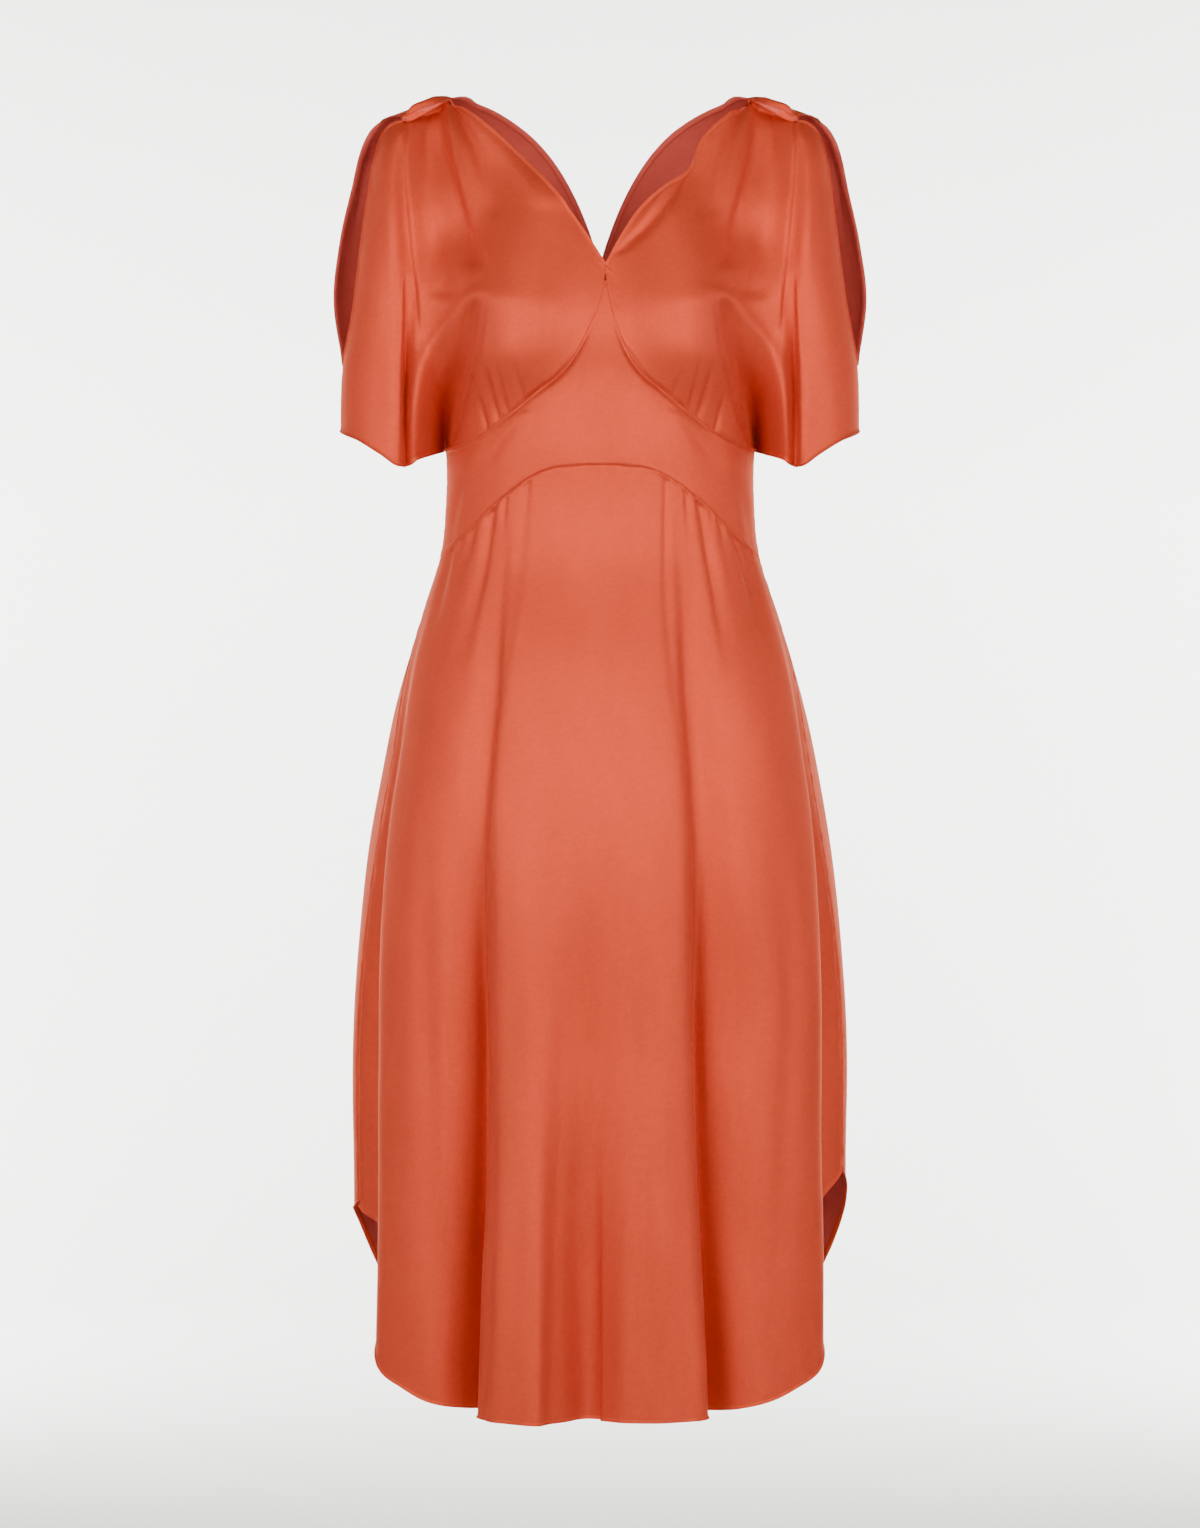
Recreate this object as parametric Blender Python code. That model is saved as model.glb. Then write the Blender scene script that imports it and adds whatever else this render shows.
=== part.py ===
"""A satin midi dress with a V neck and slit flutter sleeves, holding the shape it has when worn.

The cloth is a thin wall, cut and sewn from eight pieces: two bodice fronts and two bodice backs,
each with its half of a sleeve, a midriff band in front and behind, and a skirt front and back.
The front faces -Y and +Z is up. The origin is the top of the shoulders, on the middle plane.
Named sizes are metres. The tables are millimetres, and shares of a length run from 0 to 1.
"""

from math import pi

import bpy
import numpy as np

MM = 0.001

# The cloth and its seams
CLOTH = 0.0015  # thickness of the wall
SEAM_GAP = 0.0004  # between the edges of pieces that are sewn together

# The neck
NECK_HALF = 0.132  # from the middle plane to the neck end of a shoulder seam
NECK_END = 0.0026  # the neck end of the shoulder seam lies this far down the front
NECK_FRONT = 0.156  # depth of the front V
NECK_SAG = 0.0135  # how far the front neckline hangs in from a straight line
WAVE_OUT = 0.016  # a swing in the wearer's left neckline: how far, how far down and how long
WAVE_DOWN = 0.072
WAVE_LONG = 0.020
NECK_BACK = 0.137  # depth of the back V
BACK_REACH = 0.043  # how quickly the back V opens
V_SHIFT = 0.0047  # the front V and the band's peak stand this far to the wearer's left

# The bust and the gathers over it
UNDERARM = 0.136  # half width at the underarm points
UNDERARM_DOWN = 0.311
BUST_OUT = 0.036
BUST_X = 0.074
BUST_DOWN = 0.196
BUST_WIDE = 0.040
BUST_ABOVE = 0.062
BUST_BELOW = 0.046
BUST_GATHERS = 5
BUST_GATHERS_FROM = 0.060  # they begin this far from the middle
BUST_GATHER_DEEP = 0.0018
BUST_GATHER_LONG = 0.022

# The skirt's gathers, and where they lie as shares of the way from a side seam to the middle
WAIST_GATHERS = 6
WAIST_GATHER_DEEP = 0.003
WAIST_GATHER_LONG = 0.075
GATHERS_FROM = 0.10
GATHERS_TO = 0.62
FOLDS_FORM = 0.190  # the skirt takes its folds over this length under the waist seam

# The body that the cloth goes round: height, half width, front depth, back depth
SECTIONS = [
    (0, 205, 80, 96),
    (-60, 200, 80, 96),
    (-140, 184, 84, 98),
    (-200, 164, 91, 98),
    (-260, 144, 97, 92),
    (-311, 136, 101, 85),
    (-360, 136, 98, 81),
    (-406, 141, 101, 84),
    (-447, 155, 108, 94),
    (-491, 170, 117, 106),
    (-535, 182, 125, 117),
    (-600, 195, 136, 128),
    (-689, 209, 141, 133),
    (-777, 217, 143, 136),
    (-850, 219.6, 146, 138),
    (-950, 218, 151, 140),
    (-1160, 214, 160, 143),
]

# How the cloth falls from the shoulder: drop below its crest, depth in front, depth behind,
# depth of the sleeve, and how softly sleeve and body run together
ROLL = [
    (0, -3, 3, 3, 1),
    (3, 6, 16, 9, 4),
    (8, 14, 29, 17, 8),
    (14, 19, 40, 24, 12),
    (25, 28, 52, 33, 18),
    (45, 40, 66, 43, 26),
    (75, 54, 80, 51, 36),
    (110, 67, 90, 56, 44),
    (150, 80, 96, 59, 44),
    (200, 91, 98, 60, 38),
    (250, 96, 93, 60, 28),
    (290, 100, 88, 60, 17),
    (311, 101, 85, 60, 12),
    (360, 101, 85, 60, 12),
]

# The sleeve: height, its middle, its reach inward, its outer side in front and behind
SLEEVE = [
    (0, 165, 110, 182, 188),
    (-25, 168, 106, 189, 202),
    (-45, 169, 102, 197, 214),
    (-92, 171, 94, 206, 225),
    (-143, 173, 82, 213, 235),
    (-185, 175, 70, 219, 238),
    (-212, 176.5, 63, 223, 234),
    (-237, 178, 56, 226, 226),
    (-295, 181, 46.5, 228, 228),
    (-330, 181.5, 45.5, 228, 228),
]

# The crest of the shoulder and sleeve: x, height
CREST = [(0, 0), (132, 0), (143, 0), (163, -5), (172, -9), (184, -16), (196, -24), (228, -24)]

# The edges from the shoulder to the sleeve's hem: x, height, and -1 before the crest or 1 behind it
SHOULDER_SEAM = [(132, -2.6, -1), (141, -8.5, -1), (152, -14, -1), (161, -18, -1), (172, -22.5, -1)]
SLIT_FRONT = [
    (172, -22.5, -1),
    (184, -27, -1),
    (198, -59, -1),
    (203, -92, -1),
    (210, -143, -1),
    (217.5, -198, -1),
    (226, -237, -1),
]
SLIT_BACK = [
    (172, -22.5, -1),
    (186, -18.5, -1),
    (198, -26, 1),
    (209, -42, 1),
    (219, -80, 1),
    (229, -125, 1),
    (235, -175, 1),
    (226, -237, 1),
]
SLEEVE_HEM = [
    (136, -311, 1),
    (157, -321, 1),
    (174, -329, 1),
    (190, -319, 1),
    (208, -307, 1),
    (228, -295, 1),
]

# The midriff band: share of the half width from the middle, height of its top, height of its foot
BAND_FRONT = [
    (0.00, -165, -330),
    (0.03, -187, -330),
    (0.10, -217, -330),
    (0.17, -237, -331),
    (0.28, -255, -332),
    (0.38, -265, -336),
    (0.49, -277, -344),
    (0.60, -288, -355),
    (0.71, -299, -367),
    (0.83, -307, -383),
    (0.94, -311, -398),
    (1.00, -311, -406),
]
BAND_BACK = [(0.00, -318, -414), (0.50, -316, -412), (1.00, -311, -406)]
PEAK_DOWN = 0.165  # the top of the band's peak

# The bodice front's folds: side, x and height of the top, x and height of the foot,
# half width, and how far it stands out, or sinks in below 0
BODICE_FOLDS = [
    ("both", 128, -10, 80, -100, 8, 3.5),
    ("both", 138, -22, 112, -135, 8, 4.5),
    ("both", 147, -18, 138, -150, 7, 4.0),
    ("both", 158, -24, 160, -120, 6, 3.5),
    ("both", 167, -26, 166, -160, 6, 3.0),
    ("both", 170, -60, 161, -235, 9, -4.0),
    ("both", 161, -235, 174, -325, 8, -4.0),
    ("both", 112, -205, 132, -300, 10, 4.0),
    ("left", 76, -58, 24, -128, 5, 3.0),
]

# The skirt's folds are lines down the cloth, from the right seam round the front to the left seam
# and back behind: angle round the waist, then x and y at the hips, at the thighs and at the hem
FOLD_LEVELS = (-600, -850, -1146)
SKIRT_FOLDS = [
    ("seam", -90, -186, -8, -213, 6, -213, 8),
    ("tuck", -80, -181, -26, -188, -22, -184, -30),
    ("side edge", -72, -176, -48, -192, -58, -194, -62),
    ("side lobe", -55, -148, -90, -160, -98, -162, -98),
    ("side inner", -44, -116, -110, -122, -107, -126, -102),
    ("valley", -38, -99, -113, -100, -97, -101, -86),
    ("lobe edge", -33, -89, -126, -92, -124, -104, -126),
    ("lobe", -23, -58, -138, -58, -150, -52, -166),
    ("middle", -5, -12, -138, -12, -134, -12, -118),
    ("lobe", 9, 25, -140, 27, -143, 28, -146),
    ("lobe", 20, 52, -136, 56, -140, 64, -144),
    ("lobe edge", 27, 71, -126, 77, -122, 89, -128),
    ("valley", 33, 82, -112, 82, -94, 88, -92),
    ("side inner", 42, 110, -110, 108, -106, 114, -104),
    ("side lobe", 55, 148, -90, 156, -98, 158, -98),
    ("side edge", 72, 178, -48, 192, -58, 194, -62),
    ("tuck", 80, 182, -26, 187, -22, 185, -30),
    ("seam", 90, 186, -8, 213, 6, 213, 8),
    ("outer", 104, 195, 32, 219, 40, 216, 42),
    ("back corner", 122, 176, 80, 200, 90, 198, 94),
    ("flute", 137, 144, 106, 163, 118, 168, 126),
    ("valley", 147, 116, 114, 126, 108, 128, 102),
    ("flute", 158, 78, 124, 86, 133, 90, 142),
    ("valley", 168, 42, 125, 42, 118, 44, 112),
    ("flute", 181, -2, 129, -3, 138, -4, 146),
    ("valley", 193, -44, 125, -47, 118, -50, 110),
    ("flute", 203, -82, 124, -90, 132, -96, 140),
    ("valley", 214, -118, 113, -129, 108, -132, 104),
    ("flute", 224, -146, 105, -165, 117, -170, 124),
    ("back corner", 239, -177, 79, -200, 89, -199, 92),
    ("outer", 256, -195, 32, -219, 40, -216, 42),
    ("seam", 270, -186, -8, -213, 6, -213, 8),
]
LEFT_SEAM = 17  # the row of the wearer's left seam

# The hem: share of the way from a side seam to the middle, height in front, height behind
HEM = [
    (0.00, -945, -945),
    (0.07, -972, -962),
    (0.16, -1040, -990),
    (0.26, -1098, -1030),
    (0.38, -1124, -1078),
    (0.55, -1140, -1120),
    (0.75, -1145, -1140),
    (1.00, -1147, -1147),
]

# Where the columns of a bodice piece begin its shoulder, reach the underarm and begin its slit
AT_SHOULDER = 0.30
AT_UNDERARM = 0.62
AT_SLIT = 0.76
UNDER_NECK = 0.44  # share of the bust seam that lies under the neckline's columns

# Columns of faces over the neckline, the bust, the underarm and the slit, and rows
FRONT_COLUMNS = (9, 17, 5, 9)
BACK_COLUMNS = (8, 8, 5, 9)
BODICE_ROWS = 13
BAND_ROWS = 3
SKIRT_COLUMNS = (4, 20, 8)  # by the side seam, over the gathers and by the middle
SKIRT_ROWS = 10
SEAM_SHARE = 0.0003  # share of the skirt's round that is left open at each side seam


def curve(knots, values, at):
    """The values at some places, on a smooth curve through the values at the knots."""
    knots, values = np.asarray(knots, float), np.asarray(values, float)
    at = np.clip(at, knots[0], knots[-1])
    gaps = np.diff(knots)
    steps = np.diff(values) / gaps
    inner = (steps[:-1] * gaps[1:] + steps[1:] * gaps[:-1]) / (gaps[:-1] + gaps[1:])
    slopes = np.concatenate([steps[:1], inner, steps[-1:]])
    i = np.clip(np.searchsorted(knots, at, side="right") - 1, 0, len(gaps) - 1)
    t = (at - knots[i]) / gaps[i]
    rise = values[i + 1] - values[i]
    leave, arrive = slopes[i] * gaps[i], slopes[i + 1] * gaps[i]
    return values[i] + t * (leave + t * (3 * rise - 2 * leave - arrive + t * (leave + arrive - 2 * rise)))


def column(table, number, at, unit=MM):
    """A table's numbered column at some places along its first, which is in the unit given."""
    rows = sorted((row[0] * unit, row[number] * MM) for row in table)
    return curve([row[0] for row in rows], [row[1] for row in rows], at)


def ease(t):
    """A soft step from 0 to 1."""
    t = np.clip(t, 0, 1)
    return t * t * (3 - 2 * t)


def mix(a, b, t):
    return a + (b - a) * t


def unit(vectors):
    """The vectors, each made 1 long."""
    return vectors / np.linalg.norm(vectors, axis=-1, keepdims=True)


def oval(share):
    """How deep an oval is at a share of its half width. Past its side this is below 0."""
    share = np.abs(share)
    return np.where(share < 1, np.sqrt(np.clip(1 - share * share, 0, 1)), 2 * (1 - share))


def run_together(a, b, soft):
    """The deeper of two depths, with a soft valley where they meet."""
    near = np.clip(1 - np.abs(a - b) / soft, 0, 1)
    return np.maximum(a, b) + near * near * soft / 4


def bust(x, z):
    """How far the bust fills the cloth out."""
    tall = np.where(z > -BUST_DOWN, BUST_ABOVE, BUST_BELOW)
    height = np.exp(-0.5 * ((z + BUST_DOWN) / tall) ** 2)
    left, right = (np.exp(-0.5 * ((x - side * BUST_X) / BUST_WIDE) ** 2) for side in (1, -1))
    return BUST_OUT * height * (left + right)


def bodice_folds(x, z, side):
    """How far the folds lift a bodice front."""
    lift = np.zeros_like(x)
    for where, *sizes in BODICE_FOLDS:
        if where not in ("both", side):
            continue
        x0, z0, x1, z1, wide, high = (size * MM for size in sizes)
        long = np.hypot(x1 - x0, z1 - z0)
        along = ((x - x0) * (x1 - x0) + (z - z0) * (z1 - z0)) / long**2
        off = ((x - x0) * (z1 - z0) - (z - z0) * (x1 - x0)) / long
        ends = ease(along / 0.15 + 0.3) * ease((1 - along) / 0.45 + 0.2)
        lift += high * np.exp(-((off / wide) ** 2)) * ends
    return lift


def bust_gathers(x, above):
    """How far the gathers over the bust lift the cloth above its seam."""
    share = (x - BUST_GATHERS_FROM) / (UNDERARM - BUST_GATHERS_FROM)
    there = ease(share / 0.15) * ease((1 - share) / 0.12)
    rise = ease(above / 0.008) * np.exp(-((above / BUST_GATHER_LONG) ** 2))
    return BUST_GATHER_DEEP * there * rise * np.sin(2 * pi * BUST_GATHERS * share)


def band_height(table, number, share):
    """The height of a seam of the midriff band."""
    return column(table, number, np.abs(share), unit=1)


def lean(x, z, front):
    """How far the front's V and peak stand to one side."""
    if not front:
        return 0 * x
    high = ease((z + UNDERARM_DOWN) / (UNDERARM_DOWN - PEAK_DOWN))
    return V_SHIFT * high * np.clip(1 - np.abs(x) / NECK_HALF, 0, 1) ** 2


def bodice_depth(x, z, drop, front, side):
    """How far the bodice lies from the middle plane, before it or behind it."""
    chest = column(ROLL, 1 if front else 2, drop) * oval(x / column(SECTIONS, 1, z))
    sleeve = column(ROLL, 3, drop)
    if front:
        chest += bust(x, z)
        sleeve = np.where(drop < 3 * MM, mix(-3 * MM, 9 * MM, drop / (3 * MM)), sleeve)
    middle, inward = column(SLEEVE, 1, z), column(SLEEVE, 2, z)
    outward = column(SLEEVE, 3 if front else 4, z) - middle
    share = (x - middle) / np.where(x < middle, inward, outward)
    lie = run_together(chest, sleeve * oval(share), column(ROLL, 4, drop))
    if front:
        above = z - band_height(BAND_FRONT, 1, x / UNDERARM)
        lie += bodice_folds(x, z, side) * ease(above / 0.02) + bust_gathers(x, above)
    return lie


def crest(x):
    """The height of the top of the shoulder or sleeve."""
    return column(CREST, 1, x)


def over(x, z, side):
    """A place's way over the shoulder: 0 at the crest, below 0 in front of it and above 0 behind."""
    return side * np.sqrt(np.maximum(crest(x) - z, 0))


def front_neckline(share, side):
    """The neckline from its V to the shoulder: x and the way over the shoulder."""
    z = mix(-NECK_FRONT, -NECK_END, share)
    x = NECK_HALF * share - NECK_SAG * np.sin(pi * share)
    if side == "left":
        x += WAVE_OUT * np.exp(-(((z + WAVE_DOWN) / WAVE_LONG) ** 2))
    return x, over(x, z, -1)


def back_neckline(share):
    """The neckline from the foot of its V, over the shoulder to the seam: x and the way over."""
    x = NECK_HALF * share**1.4
    far = np.exp(-NECK_HALF / BACK_REACH)
    z = -NECK_BACK * (np.exp(-x / BACK_REACH) - far) / (1 - far)
    return x, mix(over(x, z, 1), -np.sqrt(NECK_END), ease((share - 0.8) / 0.2))


def edge(points, share):
    """A place a share of the way along an edge: x, height and the way over the shoulder."""
    x, z, side = (np.array(values, float) for values in zip(*points))
    x, z = x * MM, z * MM
    steps = np.concatenate([[0], np.cumsum(np.hypot(np.diff(x), np.diff(z)))])
    place = steps / steps[-1]
    return curve(place, x, share), curve(place, z, share), curve(place, over(x, z, side), share)


def seam_share(u):
    """How far along the bust seam, from the middle to the underarm, a bodice column ends."""
    under = UNDER_NECK * np.clip(u / AT_SHOULDER, 0, 1) ** 1.3
    beyond = np.clip((u - AT_SHOULDER) / (AT_UNDERARM - AT_SHOULDER), 0, 1)
    return np.where(u < AT_SHOULDER, under, mix(UNDER_NECK, 1, beyond))


def bodice(front, side):
    """The surface of a bodice piece: u runs from the middle to the sleeve, v from top to foot."""
    turn = 1 if side == "left" else -1
    lies = -1 if front else 1
    band = BAND_FRONT if front else BAND_BACK
    slit = SLIT_FRONT if front else SLIT_BACK
    outer = 3 if front else 4

    def top(u):
        share = np.clip(u / AT_SHOULDER, 0, 1)
        x, way = front_neckline(share, side) if front else back_neckline(share)
        seam_x, _, seam_way = edge(SHOULDER_SEAM, (u - AT_SHOULDER) / (AT_SLIT - AT_SHOULDER))
        slit_x, _, slit_way = edge(slit, (u - AT_SLIT) / (1 - AT_SLIT))
        x = np.where(u > AT_SLIT, slit_x, np.where(u > AT_SHOULDER, seam_x, x))
        way = np.where(u > AT_SLIT, slit_way, np.where(u > AT_SHOULDER, seam_way, way))
        return x, way + lies * SEAM_GAP / 4 / np.maximum(np.abs(way), 0.05)

    def foot(u):
        share = seam_share(u)
        hem_x, hem_z, _ = edge(SLEEVE_HEM, (u - AT_UNDERARM) / (1 - AT_UNDERARM))
        seam_z = band_height(band, 1, share) + SEAM_GAP / 2
        return np.where(u > AT_UNDERARM, hem_x, share * UNDERARM), np.where(u > AT_UNDERARM, hem_z, seam_z)

    def surface(u, v):
        x0, start = top(u)
        x1, z1 = foot(u)
        height = crest(x0)
        end = lies * np.sqrt(height - z1)
        way = mix(start, end, v)
        drop = way * way
        z = height - drop
        down = (way * np.abs(way) - start * np.abs(start)) / (end * np.abs(end) - start * np.abs(start))
        reach0 = x0 / column(SLEEVE, outer, height - start**2)
        reach1 = x1 / column(SLEEVE, outer, z1)
        x = mix(reach0, reach1, down) * column(SLEEVE, outer, z)
        before = bodice_depth(x, z, drop, True, side)
        behind = bodice_depth(x, z, drop, False, side)
        y = np.where(way < 0, -before, behind) + np.sign(way) * ease(drop / 0.01) * SEAM_GAP / 2
        return np.stack([turn * (x + SEAM_GAP / 2) + lean(x, z, front), y, z], axis=-1)

    return surface


def band(front):
    """The surface of a midriff band: u runs from -1 to 1 across the body, v from top to foot."""
    table = BAND_FRONT if front else BAND_BACK

    def surface(u, v):
        share = np.sin(u * pi / 2)
        top = band_height(table, 1, share) - SEAM_GAP / 2
        z = mix(top, band_height(table, 2, share) + SEAM_GAP / 2, v)
        half = column(SECTIONS, 1, z)
        x = share * np.where(z > -UNDERARM_DOWN, UNDERARM, half)
        over_waist = column(ROLL, 1 if front else 2, -z)
        depth = np.where(z > -UNDERARM_DOWN, over_waist, column(SECTIONS, 2 if front else 3, z))
        y = depth * oval(x / half) + SEAM_GAP / 2
        if front:
            y = -(y + bust(x, z))
        return np.stack([x + lean(x, z, front), y, z], axis=-1)

    return surface


def skirt_lines():
    """The skirt's folds, and where each lies round the cloth, with one more before and after."""
    rows = np.array([row[1:] for row in SKIRT_FOLDS], float)
    place = np.concatenate([[0], np.cumsum(np.hypot(np.diff(rows[:, 3]), np.diff(rows[:, 4])))])
    left = place[LEFT_SEAM]
    behind = 0.5 + (place - left) / (place[-1] - left) / 2
    place = np.where(place <= left, place / left / 2, behind)
    turn = np.zeros(rows.shape[1])
    turn[0] = 360
    place = np.concatenate([[place[-2] - 1], place, [place[1] + 1]])
    return place, np.concatenate([rows[-2:-1] - turn, rows, rows[1:2] + turn])


def skirt(u, v):
    """The surface of the skirt: u runs once round from the right seam, v from waist to hem."""
    place, rows = skirt_lines()
    angle = np.radians(curve(place, rows[:, 0], u))
    front = u < 0.5
    from_seam = 1 - np.abs(1 - 4 * (u % 0.5))
    top = np.where(front, band_height(BAND_FRONT, 2, np.sin(angle)), band_height(BAND_BACK, 2, np.sin(angle)))
    hem = np.where(front, column(HEM, 1, from_seam, unit=1), column(HEM, 2, from_seam, unit=1))
    z = mix(top - SEAM_GAP / 2, hem, v)
    half = column(SECTIONS, 1, z)
    depth = np.where(front, column(SECTIONS, 2, z), column(SECTIONS, 3, z))

    hips, thighs, foot = (level * MM for level in FOLD_LEVELS)
    upper = ease((z - hips) / (thighs - hips))
    lower = np.clip((z - thighs) / (foot - thighs), 0, 1)
    lower = mix(lower, ease(lower), 0.5)
    folded = []
    for axis in (1, 2):
        shares = [
            curve(place, rows[:, axis + 2 * n] * MM / column(SECTIONS, 1, level), u)
            for n, level in enumerate((hips, thighs, foot))
        ]
        folded.append(mix(mix(shares[0], shares[1], upper), shares[2], lower) * half)

    below = top - z
    formed = ease(below / FOLDS_FORM)
    crowd = (from_seam - GATHERS_FROM) / (GATHERS_TO - GATHERS_FROM)
    ripple = np.sin(2 * pi * WAIST_GATHERS * crowd) * ease(crowd / 0.1) * ease((1 - crowd) / 0.1)
    gather = WAIST_GATHER_DEEP * ripple * ease(below / 0.018) * np.exp(-((below / WAIST_GATHER_LONG) ** 2))
    x = mix(half * np.sin(angle), folded[0], formed) + gather * np.sin(angle)
    y = mix(-depth * np.cos(angle), folded[1], formed) - gather * np.cos(angle)
    return np.stack([x, y, z], axis=-1)


def faces_of(columns, rows, start):
    """The three-sided faces of a grid of points numbered row by row."""
    r, c = np.meshgrid(np.arange(rows - 1), np.arange(columns - 1), indexing="ij")
    first = (start + r * columns + c).ravel()
    upper = np.stack([first, first + 1, first + columns + 1], axis=-1)
    lower = np.stack([first, first + columns + 1, first + columns], axis=-1)
    return np.concatenate([upper, lower])


def wall(name, surface, u, v, outward, material, square=False):
    """A piece of cloth: its outer surface, the inner one a cloth's thickness away, and the edges.

    outward is 1 where the surface's own normal points out and -1 where it points in. A square
    piece has its first edge cut square to the middle plane, where its other half meets it.
    """
    across, down = np.meshgrid(u, v)
    points = surface(across, down)
    along, fall = np.gradient(points, axis=1), np.gradient(points, axis=0)
    small = 0.005
    for end, step in ((0, small), (-1, -small)):
        along[:, end] = (surface(across[:, end] + step, down[:, end]) - points[:, end]) / step
        fall[end] = (surface(across[end], down[end] + step) - points[end]) / step
    normal = np.cross(unit(along), unit(fall))
    if square:
        normal[:, 0, 0] = 0
    inner = points - outward * CLOTH * unit(normal)

    rows, columns = across.shape
    count = rows * columns
    last = (rows - 1) * columns
    rim = np.concatenate([
        np.arange(columns),
        np.arange(1, rows) * columns + columns - 1,
        np.arange(columns - 2, -1, -1) + last,
        np.arange(rows - 2, 0, -1) * columns,
    ])
    beyond = np.roll(rim, -1)
    faces = np.concatenate([
        faces_of(columns, rows, 0),
        faces_of(columns, rows, count)[:, ::-1],
        np.stack([rim, rim + count, beyond + count], axis=-1),
        np.stack([rim, beyond + count, beyond], axis=-1),
    ])
    if outward < 0:
        faces = faces[:, ::-1]
    corners = np.concatenate([points.reshape(-1, 3), inner.reshape(-1, 3)])
    mesh = bpy.data.meshes.new(name)
    mesh.from_pydata(corners.tolist(), [], faces.tolist())
    mesh.shade_smooth()
    mesh.materials.append(material)
    piece = bpy.data.objects.new(name, mesh)
    dress.objects.link(piece)


def satin():
    """Orange crepe-back satin, with its soft sheen."""
    material = bpy.data.materials.new("crepe-back satin")
    material.use_nodes = True
    shader = material.node_tree.nodes["Principled BSDF"]
    shader.inputs["Base Color"].default_value = (0.72, 0.13, 0.065, 1)
    shader.inputs["Roughness"].default_value = 0.42
    shader.inputs["Metallic"].default_value = 0.0
    return material


def bodice_columns(counts):
    """Places across a bodice piece, with its corners among them."""
    neck, over_bust, underarm, slit = counts
    return np.concatenate([
        np.linspace(0, AT_SHOULDER, neck, endpoint=False),
        np.linspace(AT_SHOULDER, AT_UNDERARM, over_bust, endpoint=False),
        np.linspace(AT_UNDERARM, AT_SLIT, underarm, endpoint=False),
        mix(AT_SLIT, 1, np.linspace(0, 1, slit) ** 1.3),
    ])


def band_columns(counts):
    """Places across a band, under the columns of the bodice pieces above it."""
    to_underarm = bodice_columns(counts)[: counts[0] + counts[1] + 1]
    half = np.arcsin(seam_share(to_underarm)) / (pi / 2)
    return np.concatenate([-half[:0:-1], half])


def skirt_columns():
    """Places across a skirt piece, close together where it is gathered."""
    by_seam, over_gathers, by_middle = SKIRT_COLUMNS
    side = np.concatenate([
        np.linspace(0, GATHERS_FROM, by_seam, endpoint=False),
        np.linspace(GATHERS_FROM, GATHERS_TO, over_gathers, endpoint=False),
        np.linspace(GATHERS_TO, 1, by_middle),
    ]) / 4
    across = np.concatenate([side, 0.5 - side[-2::-1]])
    return np.clip(across, SEAM_SHARE, 0.5 - SEAM_SHARE)


for old in list(bpy.data.objects):
    bpy.data.objects.remove(old)
dress = bpy.data.collections.new("midi dress")
bpy.context.scene.collection.children.link(dress)
cloth = satin()

bodice_rows = np.linspace(0, 1, BODICE_ROWS)
bodice_rows = mix(bodice_rows, ease(bodice_rows), 0.75)
for side, turn in (("right", -1), ("left", 1)):
    front = bodice_columns(FRONT_COLUMNS)
    back = bodice_columns(BACK_COLUMNS)
    wall("bodice_front_" + side, bodice(True, side), front, bodice_rows, -turn, cloth, square=True)
    wall("bodice_back_" + side, bodice(False, side), back, bodice_rows, turn, cloth, square=True)

band_rows = np.linspace(0, 1, BAND_ROWS)
wall("midriff_front", band(True), band_columns(FRONT_COLUMNS), band_rows, -1, cloth)
wall("midriff_back", band(False), band_columns(BACK_COLUMNS), band_rows, 1, cloth)

skirt_rows = np.linspace(0, 1, SKIRT_ROWS) ** 1.2
wall("skirt_front", skirt, skirt_columns(), skirt_rows, -1, cloth)
wall("skirt_back", skirt, 0.5 + skirt_columns(), skirt_rows, -1, cloth)
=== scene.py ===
"""The looks of a satin midi dress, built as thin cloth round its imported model.

Each piece of cloth is drawn on the same form as its solid, much finer, with the creases, turned
hems, seams and stitches that the solid leaves out. The front faces -Y, +Z is up, and the origin is
the top of the shoulders. Named sizes are metres, and the tables are millimetres unless they say
otherwise. Shares of a length run from 0 to 1.
"""

from math import pi, radians

import bpy
import numpy as np
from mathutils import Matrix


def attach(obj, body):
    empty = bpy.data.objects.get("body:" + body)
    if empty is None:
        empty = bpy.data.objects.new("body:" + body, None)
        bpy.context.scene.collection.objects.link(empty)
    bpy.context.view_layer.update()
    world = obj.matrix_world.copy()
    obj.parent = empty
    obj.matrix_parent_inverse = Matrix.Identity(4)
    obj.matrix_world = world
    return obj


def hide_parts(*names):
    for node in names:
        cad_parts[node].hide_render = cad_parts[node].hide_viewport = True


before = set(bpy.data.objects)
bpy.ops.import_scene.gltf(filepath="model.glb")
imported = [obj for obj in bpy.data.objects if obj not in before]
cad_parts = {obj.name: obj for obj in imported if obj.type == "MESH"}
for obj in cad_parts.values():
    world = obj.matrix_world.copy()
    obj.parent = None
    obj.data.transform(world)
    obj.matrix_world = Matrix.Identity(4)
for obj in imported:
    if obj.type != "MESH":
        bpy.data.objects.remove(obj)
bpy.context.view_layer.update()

bl_info = {
    "name": "Midi dress",
    "version": (1, 0, 0),
    "blender": (4, 5, 0),
    "location": "3D View > Sidebar > Dress",
    "description": "Builds a draped satin midi dress with creases, turned hems and stitches",
    "category": "Object",
}

MM = 0.001
SATIN_FACE = "crepe-back satin, face"
SATIN_REVERSE = "crepe-back satin, reverse"
THREAD = "polyester thread"

# ---------------------------------------------------------------- the form, as in the solids

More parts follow.
